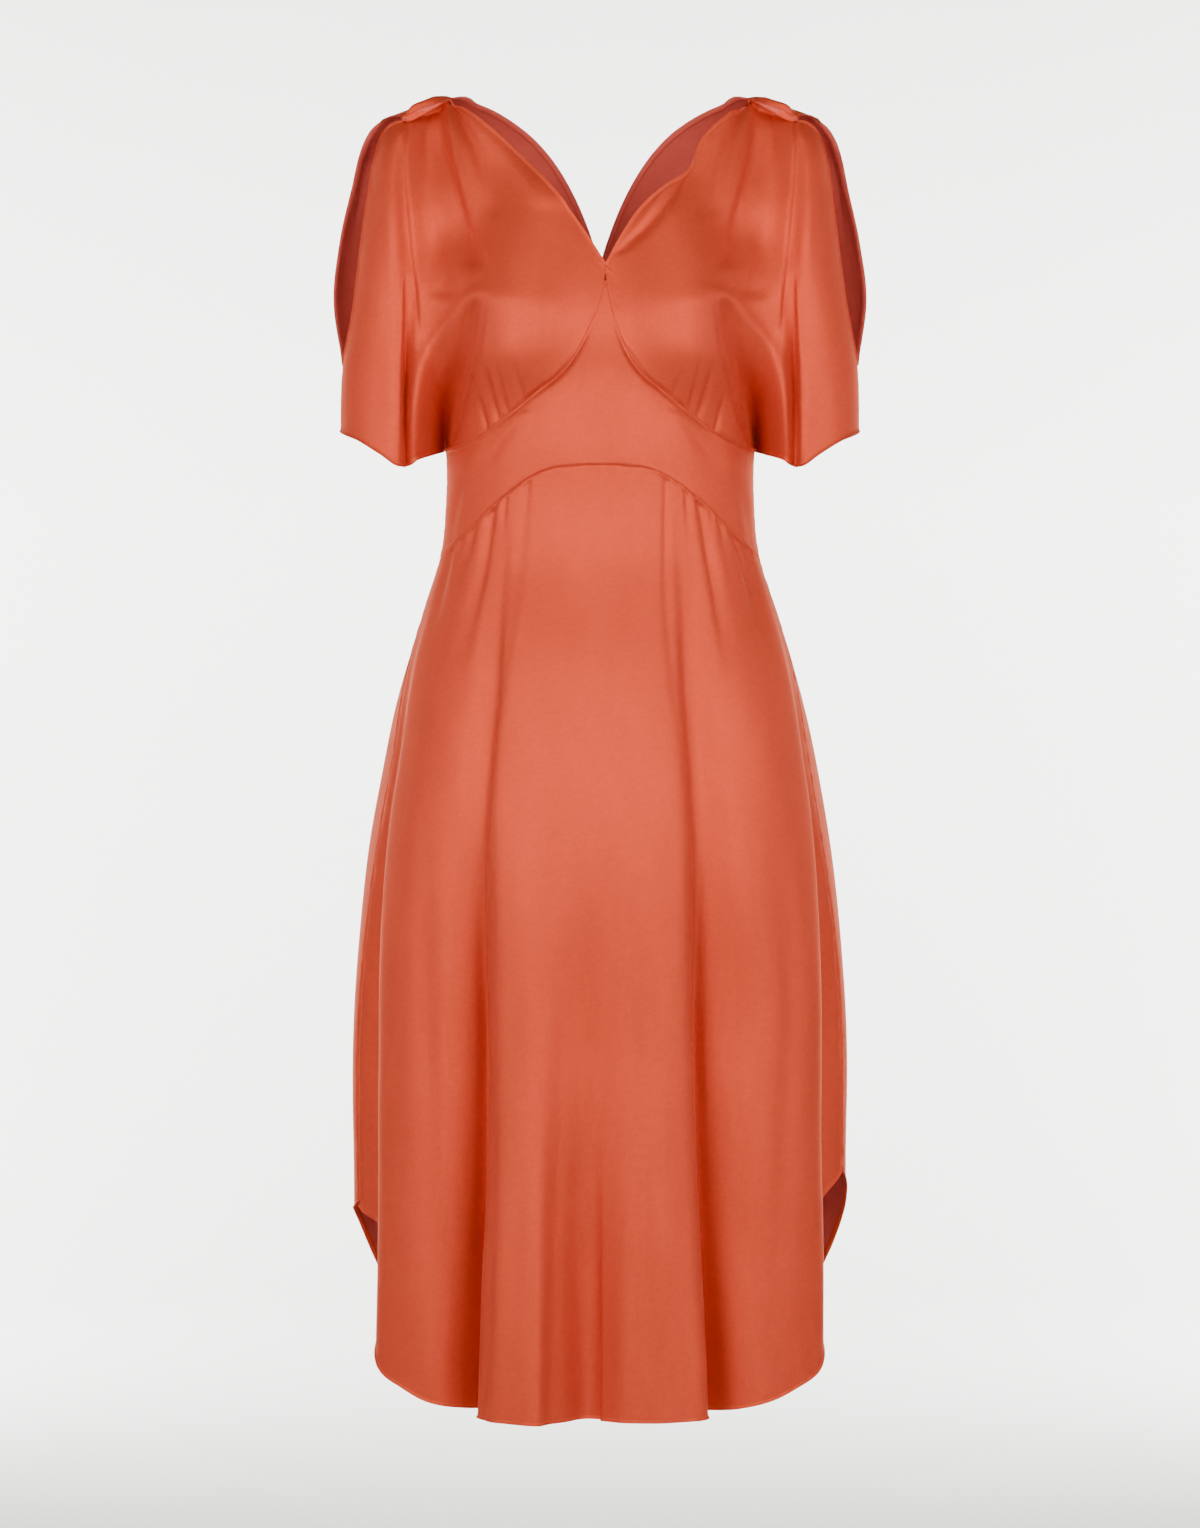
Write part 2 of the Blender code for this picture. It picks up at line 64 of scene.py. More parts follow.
NECK_HALF = 0.132  # from the middle plane to the neck end of a shoulder seam
NECK_END = 0.0026  # the neck end of the shoulder seam lies this far down the front
NECK_FRONT = 0.156  # depth of the front V
NECK_SAG = 0.0135  # how far the front neckline hangs in from a straight line
WAVE_OUT = 0.016  # a swing in the wearer's left neckline: how far, how far down and how long
WAVE_DOWN = 0.072
WAVE_LONG = 0.020
NECK_BACK = 0.137  # depth of the back V
BACK_REACH = 0.043  # how quickly the back V opens
V_SHIFT = 0.0047  # the front V and the band's peak stand this far to the wearer's left

UNDERARM = 0.136  # half width at the underarm points
UNDERARM_DOWN = 0.311
BUST_OUT = 0.036
BUST_X = 0.074
BUST_DOWN = 0.196
BUST_WIDE = 0.040
BUST_ABOVE = 0.062
BUST_BELOW = 0.046
FOLDS_FORM = 0.190  # the skirt takes its folds over this length under the waist seam

# The body that the cloth goes round: height, half width, front depth, back depth
SECTIONS = [
    (0, 205, 80, 96),
    (-60, 200, 80, 96),
    (-140, 184, 84, 98),
    (-200, 164, 91, 98),
    (-260, 144, 97, 92),
    (-311, 136, 101, 85),
    (-360, 136, 98, 81),
    (-406, 141, 101, 84),
    (-447, 155, 108, 94),
    (-491, 170, 117, 106),
    (-535, 182, 125, 117),
    (-600, 195, 136, 128),
    (-689, 209, 141, 133),
    (-777, 217, 143, 136),
    (-850, 219.6, 146, 138),
    (-950, 218, 151, 140),
    (-1160, 214, 160, 143),
]

# The back's cloth rolls over the shoulder seam, which lies in a groove: share of the way from the
# neck to the sleeve, height of the roll, depth of the groove
SHOULDER_ROLL = [(0, 0, 0), (0.3, 1.8, 1.6), (0.65, 5.4, 3.2), (0.9, 5.0, 3.8), (1, 1.5, 3.0)]
ROLL_IN = 0.0075  # how far the roll stands from the seam
ROLL_WIDE = 0.0065
GROOVE_WIDE = 0.0022

# How the cloth falls from the shoulder: drop below its crest, depth in front, depth behind,
# depth of the sleeve, and how softly sleeve and body run together
ROLL = [
    (0, -3, 3, 3, 1),
    (3, 6, 16, 9, 4),
    (8, 14, 29, 17, 8),
    (14, 19, 40, 24, 12),
    (25, 28, 52, 33, 18),
    (45, 40, 66, 43, 26),
    (75, 54, 80, 51, 36),
    (110, 67, 90, 56, 44),
    (150, 80, 96, 59, 44),
    (200, 91, 98, 60, 38),
    (250, 96, 93, 60, 28),
    (290, 100, 88, 60, 17),
    (311, 101, 85, 60, 12),
    (360, 101, 85, 60, 12),
]

# The sleeve: height, its middle, its reach inward, its outer side in front and behind
SLEEVE = [
    (0, 165, 110, 182, 188),
    (-25, 168, 106, 189, 202),
    (-45, 169, 102, 197, 214),
    (-92, 171, 94, 206, 225),
    (-143, 173, 82, 213, 235),
    (-185, 175, 70, 219, 238),
    (-212, 176.5, 63, 223, 234),
    (-237, 178, 56, 226, 226),
    (-295, 181, 46.5, 228, 228),
    (-330, 181.5, 45.5, 228, 228),
]

# The crest of the shoulder and sleeve: x, height
CREST = [(0, 0), (132, 0), (143, 0), (163, -5), (172, -9), (184, -16), (196, -24), (228, -24)]

# The edges from the shoulder to the sleeve's hem: x, height, and -1 before the crest or 1 behind it
SHOULDER_SEAM = [(132, -2.6, -1), (141, -8.5, -1), (152, -14, -1), (161, -18, -1), (172, -22.5, -1)]
SLIT_FRONT = [
    (172, -22.5, -1),
    (184, -27, -1),
    (198, -59, -1),
    (203, -92, -1),
    (210, -143, -1),
    (217.5, -198, -1),
    (226, -237, -1),
]
SLIT_BACK = [
    (172, -22.5, -1),
    (186, -18.5, -1),
    (198, -26, 1),
    (209, -42, 1),
    (219, -80, 1),
    (229, -125, 1),
    (235, -175, 1),
    (226, -237, 1),
]
SLEEVE_HEM = [
    (136, -311, 1),
    (157, -321, 1),
    (174, -329, 1),
    (190, -319, 1),
    (208, -307, 1),
    (228, -295, 1),
]
SLEEVE_HEM_BACK = [
    (136, -311, 1),
    (157, -314, 1),
    (174, -321, 1),
    (190, -312, 1),
    (208, -302, 1),
    (228, -295, 1),
]

# The midriff band: share of the half width from the middle, height of its top, height of its foot
BAND_FRONT = [
    (0.00, -165, -330),
    (0.03, -187, -330),
    (0.10, -217, -330),
    (0.17, -237, -331),
    (0.28, -255, -332),
    (0.38, -265, -336),
    (0.49, -277, -344),
    (0.60, -288, -355),
    (0.71, -299, -367),
    (0.83, -307, -383),
    (0.94, -311, -398),
    (1.00, -311, -406),
]
BAND_BACK = [(0.00, -318, -414), (0.50, -316, -412), (1.00, -311, -406)]
PEAK_DOWN = 0.165  # the top of the band's peak

# The skirt's folds are lines down the cloth, from the right seam round the front to the left seam
# and back behind: angle round the waist, then x and y at the hips, at the thighs and at the hem
FOLD_LEVELS = (-600, -850, -1146)
SKIRT_FOLDS = [
    ("seam", -90, -186, -8, -213, 6, -213, 8),
    ("tuck", -80, -178, -26, -177, -22, -174, -28),
    ("side edge", -72, -176, -48, -192, -58, -194, -62),
    ("side lobe", -55, -148, -90, -160, -98, -162, -98),
    ("side inner", -45, -120, -108, -126, -108, -134, -103),
    ("valley side", -41, -106, -111, -108, -99, -113, -89),
    ("valley", -38, -97, -114, -97, -92, -99, -79),
    ("lobe edge", -33, -89, -126, -92, -124, -104, -126),
    ("lobe", -23, -58, -138, -58, -150, -52, -166),
    ("middle", -5, -12, -138, -12, -134, -12, -118),
    ("lobe", 9, 25, -140, 27, -143, 28, -146),
    ("lobe", 20, 52, -136, 56, -140, 64, -144),
    ("lobe edge", 27, 71, -126, 77, -122, 89, -128),
    ("valley", 32, 80, -113, 80, -94, 85, -81),
    ("valley side", 36, 88, -110, 92, -100, 98, -90),
    ("side inner", 42, 108, -110, 112, -107, 118, -104),
    ("side lobe", 55, 148, -90, 156, -98, 158, -98),
    ("side edge", 72, 178, -48, 192, -58, 194, -62),
    ("tuck", 80, 179, -26, 176, -22, 175, -28),
    ("seam", 90, 186, -8, 213, 6, 213, 8),
    ("outer", 104, 195, 32, 219, 40, 216, 42),
    ("back corner", 122, 176, 80, 200, 90, 198, 94),
    ("flute", 137, 144, 106, 163, 118, 168, 126),
    ("valley", 147, 116, 114, 126, 108, 128, 102),
    ("flute", 158, 78, 124, 86, 133, 90, 142),
    ("valley", 168, 42, 125, 42, 118, 44, 112),
    ("flute", 181, -2, 129, -3, 138, -4, 146),
    ("valley", 193, -44, 125, -47, 118, -50, 110),
    ("flute", 203, -82, 124, -90, 132, -96, 140),
    ("valley", 214, -118, 113, -129, 108, -132, 104),
    ("flute", 224, -146, 105, -165, 117, -170, 124),
    ("back corner", 239, -177, 79, -200, 89, -199, 92),
    ("outer", 256, -195, 32, -219, 40, -216, 42),
    ("seam", 270, -186, -8, -213, 6, -213, 8),
]
LEFT_SEAM = 19  # the row of the wearer's left seam

# The hem: share of the way from a side seam to the middle, height in front, height behind
HEM = [
    (0.00, -945, -945),
    (0.07, -972, -962),
    (0.16, -1040, -990),
    (0.26, -1098, -1030),
    (0.38, -1124, -1078),
    (0.55, -1140, -1120),
    (0.75, -1145, -1140),
    (1.00, -1147, -1147),
]
HEM_LOWER = 0.030  # the hem hangs this much lower at the wearer's right seam
HEM_LOWER_WIDE = 0.11  # and this share of the way to the middle

# Where the columns of a bodice piece begin its shoulder, reach the underarm and begin its slit
AT_SHOULDER = 0.30
AT_UNDERARM = 0.62
AT_SLIT = 0.76
UNDER_NECK = 0.44  # share of the bust seam that lies under the neckline's columns

# ---------------------------------------------------------------- creases

# Each crease: side, its way down the cloth as x and height, half width towards the middle, half
# width away from it, how much wider its foot is than its top, and how far it stands out, or sinks
# in below 0, at its top, middle and foot. x counts from the middle.
BODICE_CREASES = [
    # gathered into the shoulder seam, and fanning out over the chest
    ("right", ((129, -4), (118, -31), (109, -48), (103, -64), (92, -112)), 3.5, 4, 2.2, (-5, -4.5, -1.5)),
    ("right", ((120, -3), (98, -40), (76, -68), (44, -106)), 16, 7, 1.8, (2.6, 5.4, 2.5)),
    ("right", ((135, -5), (127, -45), (118, -84)), 3, 3, 1.6, (2.4, 2.0, 0)),
    ("right", ((142, -8), (138, -48), (132, -72), (121, -114), (108, -158)), 4, 6, 2.2, (-3, -6.5, -3.5)),
    ("right", ((152, -11), (151, -45), (147, -84)), 3, 4, 1.4, (-2.4, -1.6, 0)),
    ("right", ((157, -40), (152, -100), (142, -150), (136, -182)), 8, 9, 1.4, (0, -2.6, -4)),
    ("left", ((126, -3), (114, -33), (104, -66), (92, -112)), 3.2, 4.4, 2.2, (-5, -4.5, -1.5)),
    ("left", ((119, -8), (106, -47), (97, -74), (88, -108)), 3.5, 3.5, 1.6, (2.6, 2.6, 0)),
    ("left", ((116, -5), (92, -47), (78, -71), (66, -90), (38, -126)), 6, 4.5, 1.5, (3, 3.8, 0.5)),
    ("left", ((88, -50), (80, -62), (65, -88), (43, -118), (14, -148)), 2.4, 5, 1.5, (-1.5, -4.6, -1.5)),
    ("left", ((140, -7), (134, -60), (124, -100), (110, -156)), 4, 6, 2.2, (-3, -6.2, -3.5)),
    ("left", ((151, -12), (150, -50), (147, -76)), 3, 4, 1.4, (-2.2, -1.5, 0)),
    ("left", ((158, -40), (151, -100), (141, -150), (134, -182)), 8, 9, 1.4, (0, -2.8, -4)),
    # down the sleeve
    ("both", ((170, -20), (170, -48)), 2, 2.5, 1.0, (-2.5, -2, 0)),
    ("both", ((172, -40), (170, -78), (166, -120), (161, -178), (158, -214)), 2.2, 9, 1.2, (-2, -5.0, -1)),
    ("both", ((183, -40), (181, -92), (178, -150), (175, -200)), 5, 6, 1.2, (1, 2.4, 0)),
    # from the bust to the underarm
    ("right", ((98, -194), (103, -218), (111, -252), (120, -282), (130, -308)), 1.8, 2.2, 1.0, (-1, -3.4, -3)),
    ("left", ((98, -192), (107, -236), (119, -280), (130, -308)), 1.8, 2.2, 1.0, (-1, -3.4, -3)),
    # gathered into the bust seam
    ("right", ((106, -264), (97, -300)), 1.8, 2.4, 1.0, (0, -1.8, -1.8)),
    ("right", ((101, -238), (93, -272), (84, -300)), 2.0, 3.0, 1.0, (0, -2.4, -1.6)),
    ("right", ((90, -244), (78, -292)), 1.8, 2.6, 1.0, (0, -2.0, -1.6)),
    ("right", ((74, -244), (62, -284)), 2.2, 3.4, 1.0, (0, -1.9, -1.4)),
    ("left", ((107, -266), (99, -300)), 1.8, 2.4, 1.0, (0, -1.6, -1.6)),
    ("left", ((97, -242), (90, -270), (81, -298)), 2.0, 3.0, 1.0, (0, -2.3, -1.6)),
    ("left", ((86, -240), (75, -292)), 1.8, 2.8, 1.0, (0, -2.1, -1.6)),
    ("left", ((70, -246), (59, -284)), 2.2, 3.4, 1.0, (0, -2.0, -1.4)),
]

# The same rows, for folds so deep that they go straight in or out, not along the cloth's normal
BODICE_FOLDS = [
    # the sleeve's panel laps over the cloth from the underarm
    ("both", ((167, -165), (169, -215), (170, -250), (170.5, -280), (170.5, -350)), 7, 1.6, 1.0, (-1, -16, -14)),
    ("both", ((177, -190), (178, -250), (178, -340)), 5, 10, 1.0, (0, 3.0, 2.5)),
    # from the bust to the underarm: a soft ridge, a deep fold and a thin ridge
    ("both", ((104, -178), (130, -204), (147, -226), (157, -252), (160, -350)), 10, 8, 1.0, (2, 8, 4)),
    ("both", ((108, -190), (113, -220), (121, -248), (130, -272), (146, -345)), 5, 8.5, 2.2, (-8, -25, -31)),
    ("both", ((101, -204), (110, -237), (119, -267), (134, -312)), 3.0, 3.5, 1.2, (1.5, 4.5, 5)),
]

# Broad swells and hollows: side, x, height, half width, half height, and how far they stand out
BODICE_SWELLS = [
    ("both", 122, -124, 26, 27, -8),  # the chest falls in above the bust
    ("both", 146, -45, 22, 76, -19),  # and beside the arm
    ("both", 149, -142, 18, 30, -8),
    ("both", 52, -104, 34, 36, 7),  # the cloth runs straighter from the neck to the bust
    ("both", 92, -188, 32, 13, 3),  # the bust's fullest line
    ("both", 84, -243, 34, 29, 11),  # and the cloth hangs from it, nearly straight, to the seam
]

BODICE_BACK_CREASES = [
    ("right", ((134, -10), (118, -60), (88, -130)), 6, 8, 1.6, (-3, -3, 0)),
    ("right", ((126, -8), (106, -60), (70, -136)), 7, 6, 1.6, (2, 2.4, 0)),
    ("right", ((150, -16), (142, -90), (118, -190)), 8, 10, 1.6, (-3, -4.6, -1)),
    ("right", ((166, -60), (162, -150), (170, -310)), 7, 4, 1.4, (-2, -5, -4)),
    ("left", ((136, -10), (122, -66), (96, -140)), 6, 8, 1.6, (-3, -3.2, 0)),
    ("left", ((128, -8), (110, -54), (76, -124)), 7, 6, 1.6, (2, 2.6, 0)),
    ("left", ((152, -18), (140, -100), (120, -180)), 8, 10, 1.6, (-3, -4.2, -1)),
    ("left", ((168, -56), (163, -160), (169, -316)), 7, 4, 1.4, (-2, -5, -4)),
    ("both", ((206, -44), (212, -80), (220, -120)), 3, 2, 1.4, (3, 2, 0)),
    ("both", ((92, -200), (112, -262), (134, -316)), 7, 8, 1.2, (0, 4, 4)),
    ("both", ((112, -206), (132, -262), (148, -318)), 8, 12, 1.3, (0, -8, -8)),
    ("right", ((58, -250), (44, -312)), 3, 4, 1.0, (0, -1.8, -1.4)),
    ("right", ((84, -262), (76, -312)), 3, 4, 1.0, (0, -2, -1.6)),
    ("left", ((66, -244), (54, -312)), 3, 4, 1.0, (0, -1.8, -1.4)),
    ("left", ((90, -258), (80, -312)), 3, 4, 1.0, (0, -2, -1.6)),
]

BAND_CREASES = [
    ("both", ((66, -284), (86, -306), (102, -332)), 6, 8, 1.3, (-1, -2.4, 0)),
    ("both", ((90, -300), (110, -322), (124, -352)), 6, 6, 1.2, (0.5, 1.4, 0)),
    ("right", ((26, -226), (34, -262), (36, -300)), 8, 9, 1.3, (-0.6, -1.2, 0)),
    ("left", ((30, -232), (38, -270), (40, -306)), 8, 9, 1.3, (-0.5, -1.1, 0)),
    ("right", ((118, -330), (128, -372), (132, -398)), 4, 5, 1.0, (0, -1.4, -0.8)),
    ("left", ((120, -336), (129, -372), (133, -400)), 4, 5, 1.0, (0, -1.3, -0.8)),
]

BAND_SWELLS = [("both", 0, -262, 90, 38, -4)]

SKIRT_FRONT_CREASES = [
    # gathered into the waist seam
    ("right", ((62, -340), (72, -453)), 3, 4, 2.0, (-1.4, -1.2, 0)),
    ("right", ((80, -344), (84, -386)), 1.8, 2.2, 1.4, (-1.8, -1.4, 0)),
    ("right", ((90, -352), (104, -436), (120, -500)), 2.2, 4, 2.6, (-3.4, -3.6, -0.6)),
    ("right", ((104, -362), (122, -430)), 2.0, 3.2, 2.0, (-2.6, -2.2, 0)),
    ("right", ((117, -380), (128, -422)), 1.8, 2.4, 1.4, (-2, -1.5, 0)),
    ("right", ((128, -392), (148, -478)), 2.4, 4, 2.2, (-2.4, -2.2, 0)),
    ("left", ((57, -334), (57, -460), (63, -540)), 2.2, 2.6, 2.2, (-1.4, -1.6, -0.6)),
    ("left", ((73, -341), (78, -398)), 1.8, 2.4, 1.5, (-2, -1.5, 0)),
    ("left", ((83, -348), (95, -416), (112, -510)), 2.2, 4, 2.6, (-3.6, -3.8, -0.6)),
    ("left", ((94, -355), (98, -386)), 1.6, 1.8, 1.2, (-1.8, -1.2, 0)),
    ("left", ((100, -360), (111, -410)), 1.8, 2.4, 1.6, (-2.6, -1.8, 0)),
    ("left", ((109, -369), (128, -421), (142, -480)), 2.2, 4, 2.4, (-3.4, -3.2, -0.4)),
    ("left", ((124, -386), (140, -434)), 1.8, 2.6, 1.6, (-2.2, -1.6, 0)),
    # long folds, deeper towards the hem
    ("right", ((64, -430), (84, -567), (86, -760), (84, -915), (86, -1052), (92, -1180)), 8, 4, 1.3, (0.5, 2.0, 3.5)),
    ("right", ((148, -620), (150, -780), (144, -940), (140, -1100)), 9, 9, 1.4, (0, -2.6, 0)),
    ("right", ((34, -800), (37, -980), (38, -1180)), 5, 9, 1.5, (0, -3, -8)),
    ("left", ((50, -440), (68, -603), (72, -790), (78, -921), (84, -1019), (88, -1180)), 8, 4, 1.3, (0.5, 1.8, 3.0)),
    ("left", ((146, -580), (164, -760), (158, -950), (150, -1120)), 9, 9, 1.4, (0, -2.6, 0)),
    ("right", ((8, -860), (6, -1000), (2, -1180)), 6, 12, 1.5, (0, -3, -8)),
    ("left", ((28, -1000), (31, -1180)), 8, 9, 1.3, (0, -1.2, -2.5)),
]

SKIRT_BACK_CREASES = [
    ("right", ((30, -396), (36, -500)), 2.4, 3.4, 2.0, (-2.4, -1.8, 0)),
    ("right", ((50, -396), (60, -470), (66, -570)), 2.4, 4, 2.2, (-3, -3, -0.5)),
    ("right", ((72, -396), (84, -470)), 2.4, 3, 1.8, (-2.4, -2, 0)),
    ("right", ((94, -394), (110, -460), (126, -550)), 2.6, 4, 2.2, (-3, -3, -0.5)),
    ("right", ((112, -392), (124, -444)), 2.0, 2.6, 1.5, (-2, -1.6, 0)),
    ("left", ((22, -398), (24, -474)), 2.2, 2.4, 1.8, (-2, -1.6, 0)),
    ("left", ((42, -397), (48, -490), (52, -586)), 2.4, 4, 2.2, (-3.2, -3, -0.5)),
    ("left", ((62, -396), (70, -452)), 2.2, 2.8, 1.6, (-2.4, -1.8, 0)),
    ("left", ((84, -394), (98, -470), (110, -566)), 2.6, 4, 2.2, (-3.2, -3, -0.5)),
    ("left", ((104, -394), (116, -454)), 2.2, 3, 1.6, (-2.4, -1.6, 0)),
    ("left", ((120, -392), (134, -440)), 2.0, 2.8, 1.5, (-2, -1.6, 0)),
    ("right", ((14, -880), (18, -1000), (20, -1180)), 9, 10, 1.4, (0, -2, -4)),
    ("left", ((64, -800), (68, -1000), (72, -1180)), 8, 8, 1.4, (0, 1.6, 3)),
]


def linear(hex_code):
    """A colour's linear red, green and blue, from its sRGB hex code."""
    parts = [int(hex_code[i : i + 2], 16) / 255 for i in (0, 2, 4)]
    return tuple(c / 12.92 if c <= 0.04045 else ((c + 0.055) / 1.055) ** 2.4 for c in parts)


# ---------------------------------------------------------------- settings


class ClothSettings(bpy.types.PropertyGroup):
    """Sizes of the cloth and its sewing."""

    thickness: bpy.props.FloatProperty(
        name="Thickness", description="Thickness of the satin", default=0.0008, unit="LENGTH"
    )
    hem: bpy.props.FloatProperty(
        name="Hem", description="Width of the hems on the face", default=0.0030, unit="LENGTH"
    )
    turning: bpy.props.FloatProperty(
        name="Turning", description="Width of the cloth turned inside", default=0.0048, unit="LENGTH"
    )
    seam_reach: bpy.props.FloatProperty(
        name="Seam reach", description="How near a seam its creases fade", default=0.004, unit="LENGTH"
    )
    stitch: bpy.props.FloatProperty(
        name="Stitch", description="Length of a stitch and its gap", default=0.0028, unit="LENGTH"
    )
    creases: bpy.props.FloatProperty(
        name="Creases", description="How strongly the cloth is creased", default=1.0, min=0, max=2
    )


class ColourSettings(bpy.types.PropertyGroup):
    """Colours of the cloth and the thread."""

    face: bpy.props.FloatVectorProperty(
        name="Face", description="Shiny face of the satin", subtype="COLOR", default=linear("c84636")
    )
    reverse: bpy.props.FloatVectorProperty(
        name="Reverse", description="Dull reverse of the satin", subtype="COLOR", default=linear("cc5252")
    )
    thread: bpy.props.FloatVectorProperty(
        name="Thread", description="Sewing thread", subtype="COLOR", default=linear("c24a22")
    )
    studio: bpy.props.FloatVectorProperty(
        name="Studio", description="Floor and walls of the studio", subtype="COLOR", default=linear("d6d6d4")
    )


class StageSettings(bpy.types.PropertyGroup):
    """The studio."""

    camera_away: bpy.props.FloatProperty(
        name="Camera distance", description="From the middle of the dress", default=4.0, unit="LENGTH"
    )
    camera_height: bpy.props.FloatProperty(
        name="Camera height", description="Height of the camera", default=-0.587, unit="LENGTH"
    )
    view_tall: bpy.props.FloatProperty(
        name="View height", description="Height that the picture takes in", default=1.3446, unit="LENGTH"
    )
    floor_height: bpy.props.FloatProperty(
        name="Floor", description="Height of the studio floor", default=-1.62, unit="LENGTH"
    )
    light: bpy.props.FloatProperty(
        name="Light", description="Strength of the studio lamps", default=1.0, min=0
    )


# ---------------------------------------------------------------- working out the form


def curve(knots, values, at):
    """The values at some places, on a smooth curve through the values at the knots."""
    knots, values = np.asarray(knots, float), np.asarray(values, float)
    at = np.clip(at, knots[0], knots[-1])
    if len(knots) == 2:
        return values[0] + (at - knots[0]) / (knots[1] - knots[0]) * (values[1] - values[0])
    gaps = np.diff(knots)
    steps = np.diff(values) / gaps
    inner = (steps[:-1] * gaps[1:] + steps[1:] * gaps[:-1]) / (gaps[:-1] + gaps[1:])
    slopes = np.concatenate([steps[:1], inner, steps[-1:]])
    i = np.clip(np.searchsorted(knots, at, side="right") - 1, 0, len(gaps) - 1)
    t = (at - knots[i]) / gaps[i]
    rise = values[i + 1] - values[i]
    leave, arrive = slopes[i] * gaps[i], slopes[i + 1] * gaps[i]
    return values[i] + t * (leave + t * (3 * rise - 2 * leave - arrive + t * (leave + arrive - 2 * rise)))


def column(table, number, at, unit=MM):
    """A table's numbered column at some places along its first, which is in the unit given."""
    rows = sorted((row[0] * unit, row[number] * MM) for row in table)
    return curve([row[0] for row in rows], [row[1] for row in rows], at)


def ease(t):
    """A soft step from 0 to 1."""
    t = np.clip(t, 0, 1)
    return t * t * (3 - 2 * t)


def mix(a, b, t):
    return a + (b - a) * t


def unit(vectors):
    """The vectors, each made 1 long."""
    return vectors / np.maximum(np.linalg.norm(vectors, axis=-1, keepdims=True), 1e-12)


def oval(share):
    """How deep an oval is at a share of its half width. Past its side this is below 0."""
    share = np.abs(share)
    return np.where(share < 1, np.sqrt(np.clip(1 - share * share, 0, 1)), 2 * (1 - share))


def run_together(a, b, soft):
    """The deeper of two depths, with a soft valley where they meet."""
    near = np.clip(1 - np.abs(a - b) / soft, 0, 1)
    return np.maximum(a, b) + near * near * soft / 4


def bust(x, z):
    """How far the bust fills the cloth out."""
    tall = np.where(z > -BUST_DOWN, BUST_ABOVE, BUST_BELOW)
    height = np.exp(-0.5 * ((z + BUST_DOWN) / tall) ** 2)
    left, right = (np.exp(-0.5 * ((x - side * BUST_X) / BUST_WIDE) ** 2) for side in (1, -1))
    return BUST_OUT * height * (left + right)


def band_height(table, number, share):
    """The height of a seam of the midriff band."""
    return column(table, number, np.abs(share), unit=1)


def lean(x, z, front):
    """How far the front's V and peak stand to one side."""
    if not front:
        return 0 * x
    high = ease((z + UNDERARM_DOWN) / (UNDERARM_DOWN - PEAK_DOWN))
    return V_SHIFT * high * np.clip(1 - np.abs(x) / NECK_HALF, 0, 1) ** 2


def bodice_depth(x, z, drop, front):
    """How far the bodice lies from the middle plane, before it or behind it."""
    chest = column(ROLL, 1 if front else 2, drop) * oval(x / column(SECTIONS, 1, z))
    sleeve = column(ROLL, 3, drop)
    if front:
        chest += bust(x, z)
        sleeve = np.where(drop < 3 * MM, mix(-3 * MM, 9 * MM, drop / (3 * MM)), sleeve)
    middle, inward = column(SLEEVE, 1, z), column(SLEEVE, 2, z)
    outward = column(SLEEVE, 3 if front else 4, z) - middle
    share = (x - middle) / np.where(x < middle, inward, outward)
    return run_together(chest, sleeve * oval(share), column(ROLL, 4, drop))


def crest(x):
    """The height of the top of the shoulder or sleeve."""
    return column(CREST, 1, x)


def over(x, z, side):
    """A place's way over the shoulder: 0 at the crest, below 0 in front of it and above 0 behind."""
    return side * np.sqrt(np.maximum(crest(x) - z, 0))


def front_neckline(share, side):
    """The neckline from its V to the shoulder: x and the way over the shoulder."""
    z = mix(-NECK_FRONT, -NECK_END, share)
    x = NECK_HALF * share - NECK_SAG * np.sin(pi * share)
    if side == "left":
        x += WAVE_OUT * np.exp(-(((z + WAVE_DOWN) / WAVE_LONG) ** 2))
    return x, over(x, z, -1)


def back_neckline(share):
    """The neckline from the foot of its V, over the shoulder to the seam: x and the way over."""
    x = NECK_HALF * share**1.4
    far = np.exp(-NECK_HALF / BACK_REACH)
    z = -NECK_BACK * (np.exp(-x / BACK_REACH) - far) / (1 - far)
    return x, mix(over(x, z, 1), -np.sqrt(NECK_END), ease((share - 0.86) / 0.14))


def edge(points, share):
    """A place a share of the way along an edge: x, height and the way over the shoulder."""
    x, z, side = (np.array(values, float) for values in zip(*points))
    x, z = x * MM, z * MM
    steps = np.concatenate([[0], np.cumsum(np.hypot(np.diff(x), np.diff(z)))])
    place = steps / steps[-1]
    return curve(place, x, share), curve(place, z, share), curve(place, over(x, z, side), share)


def seam_share(u):
    """How far along the bust seam, from the middle to the underarm, a bodice column ends."""
    under = UNDER_NECK * np.clip(u / AT_SHOULDER, 0, 1) ** 1.3
    beyond = np.clip((u - AT_SHOULDER) / (AT_UNDERARM - AT_SHOULDER), 0, 1)
    return np.where(u < AT_SHOULDER, under, mix(UNDER_NECK, 1, beyond))


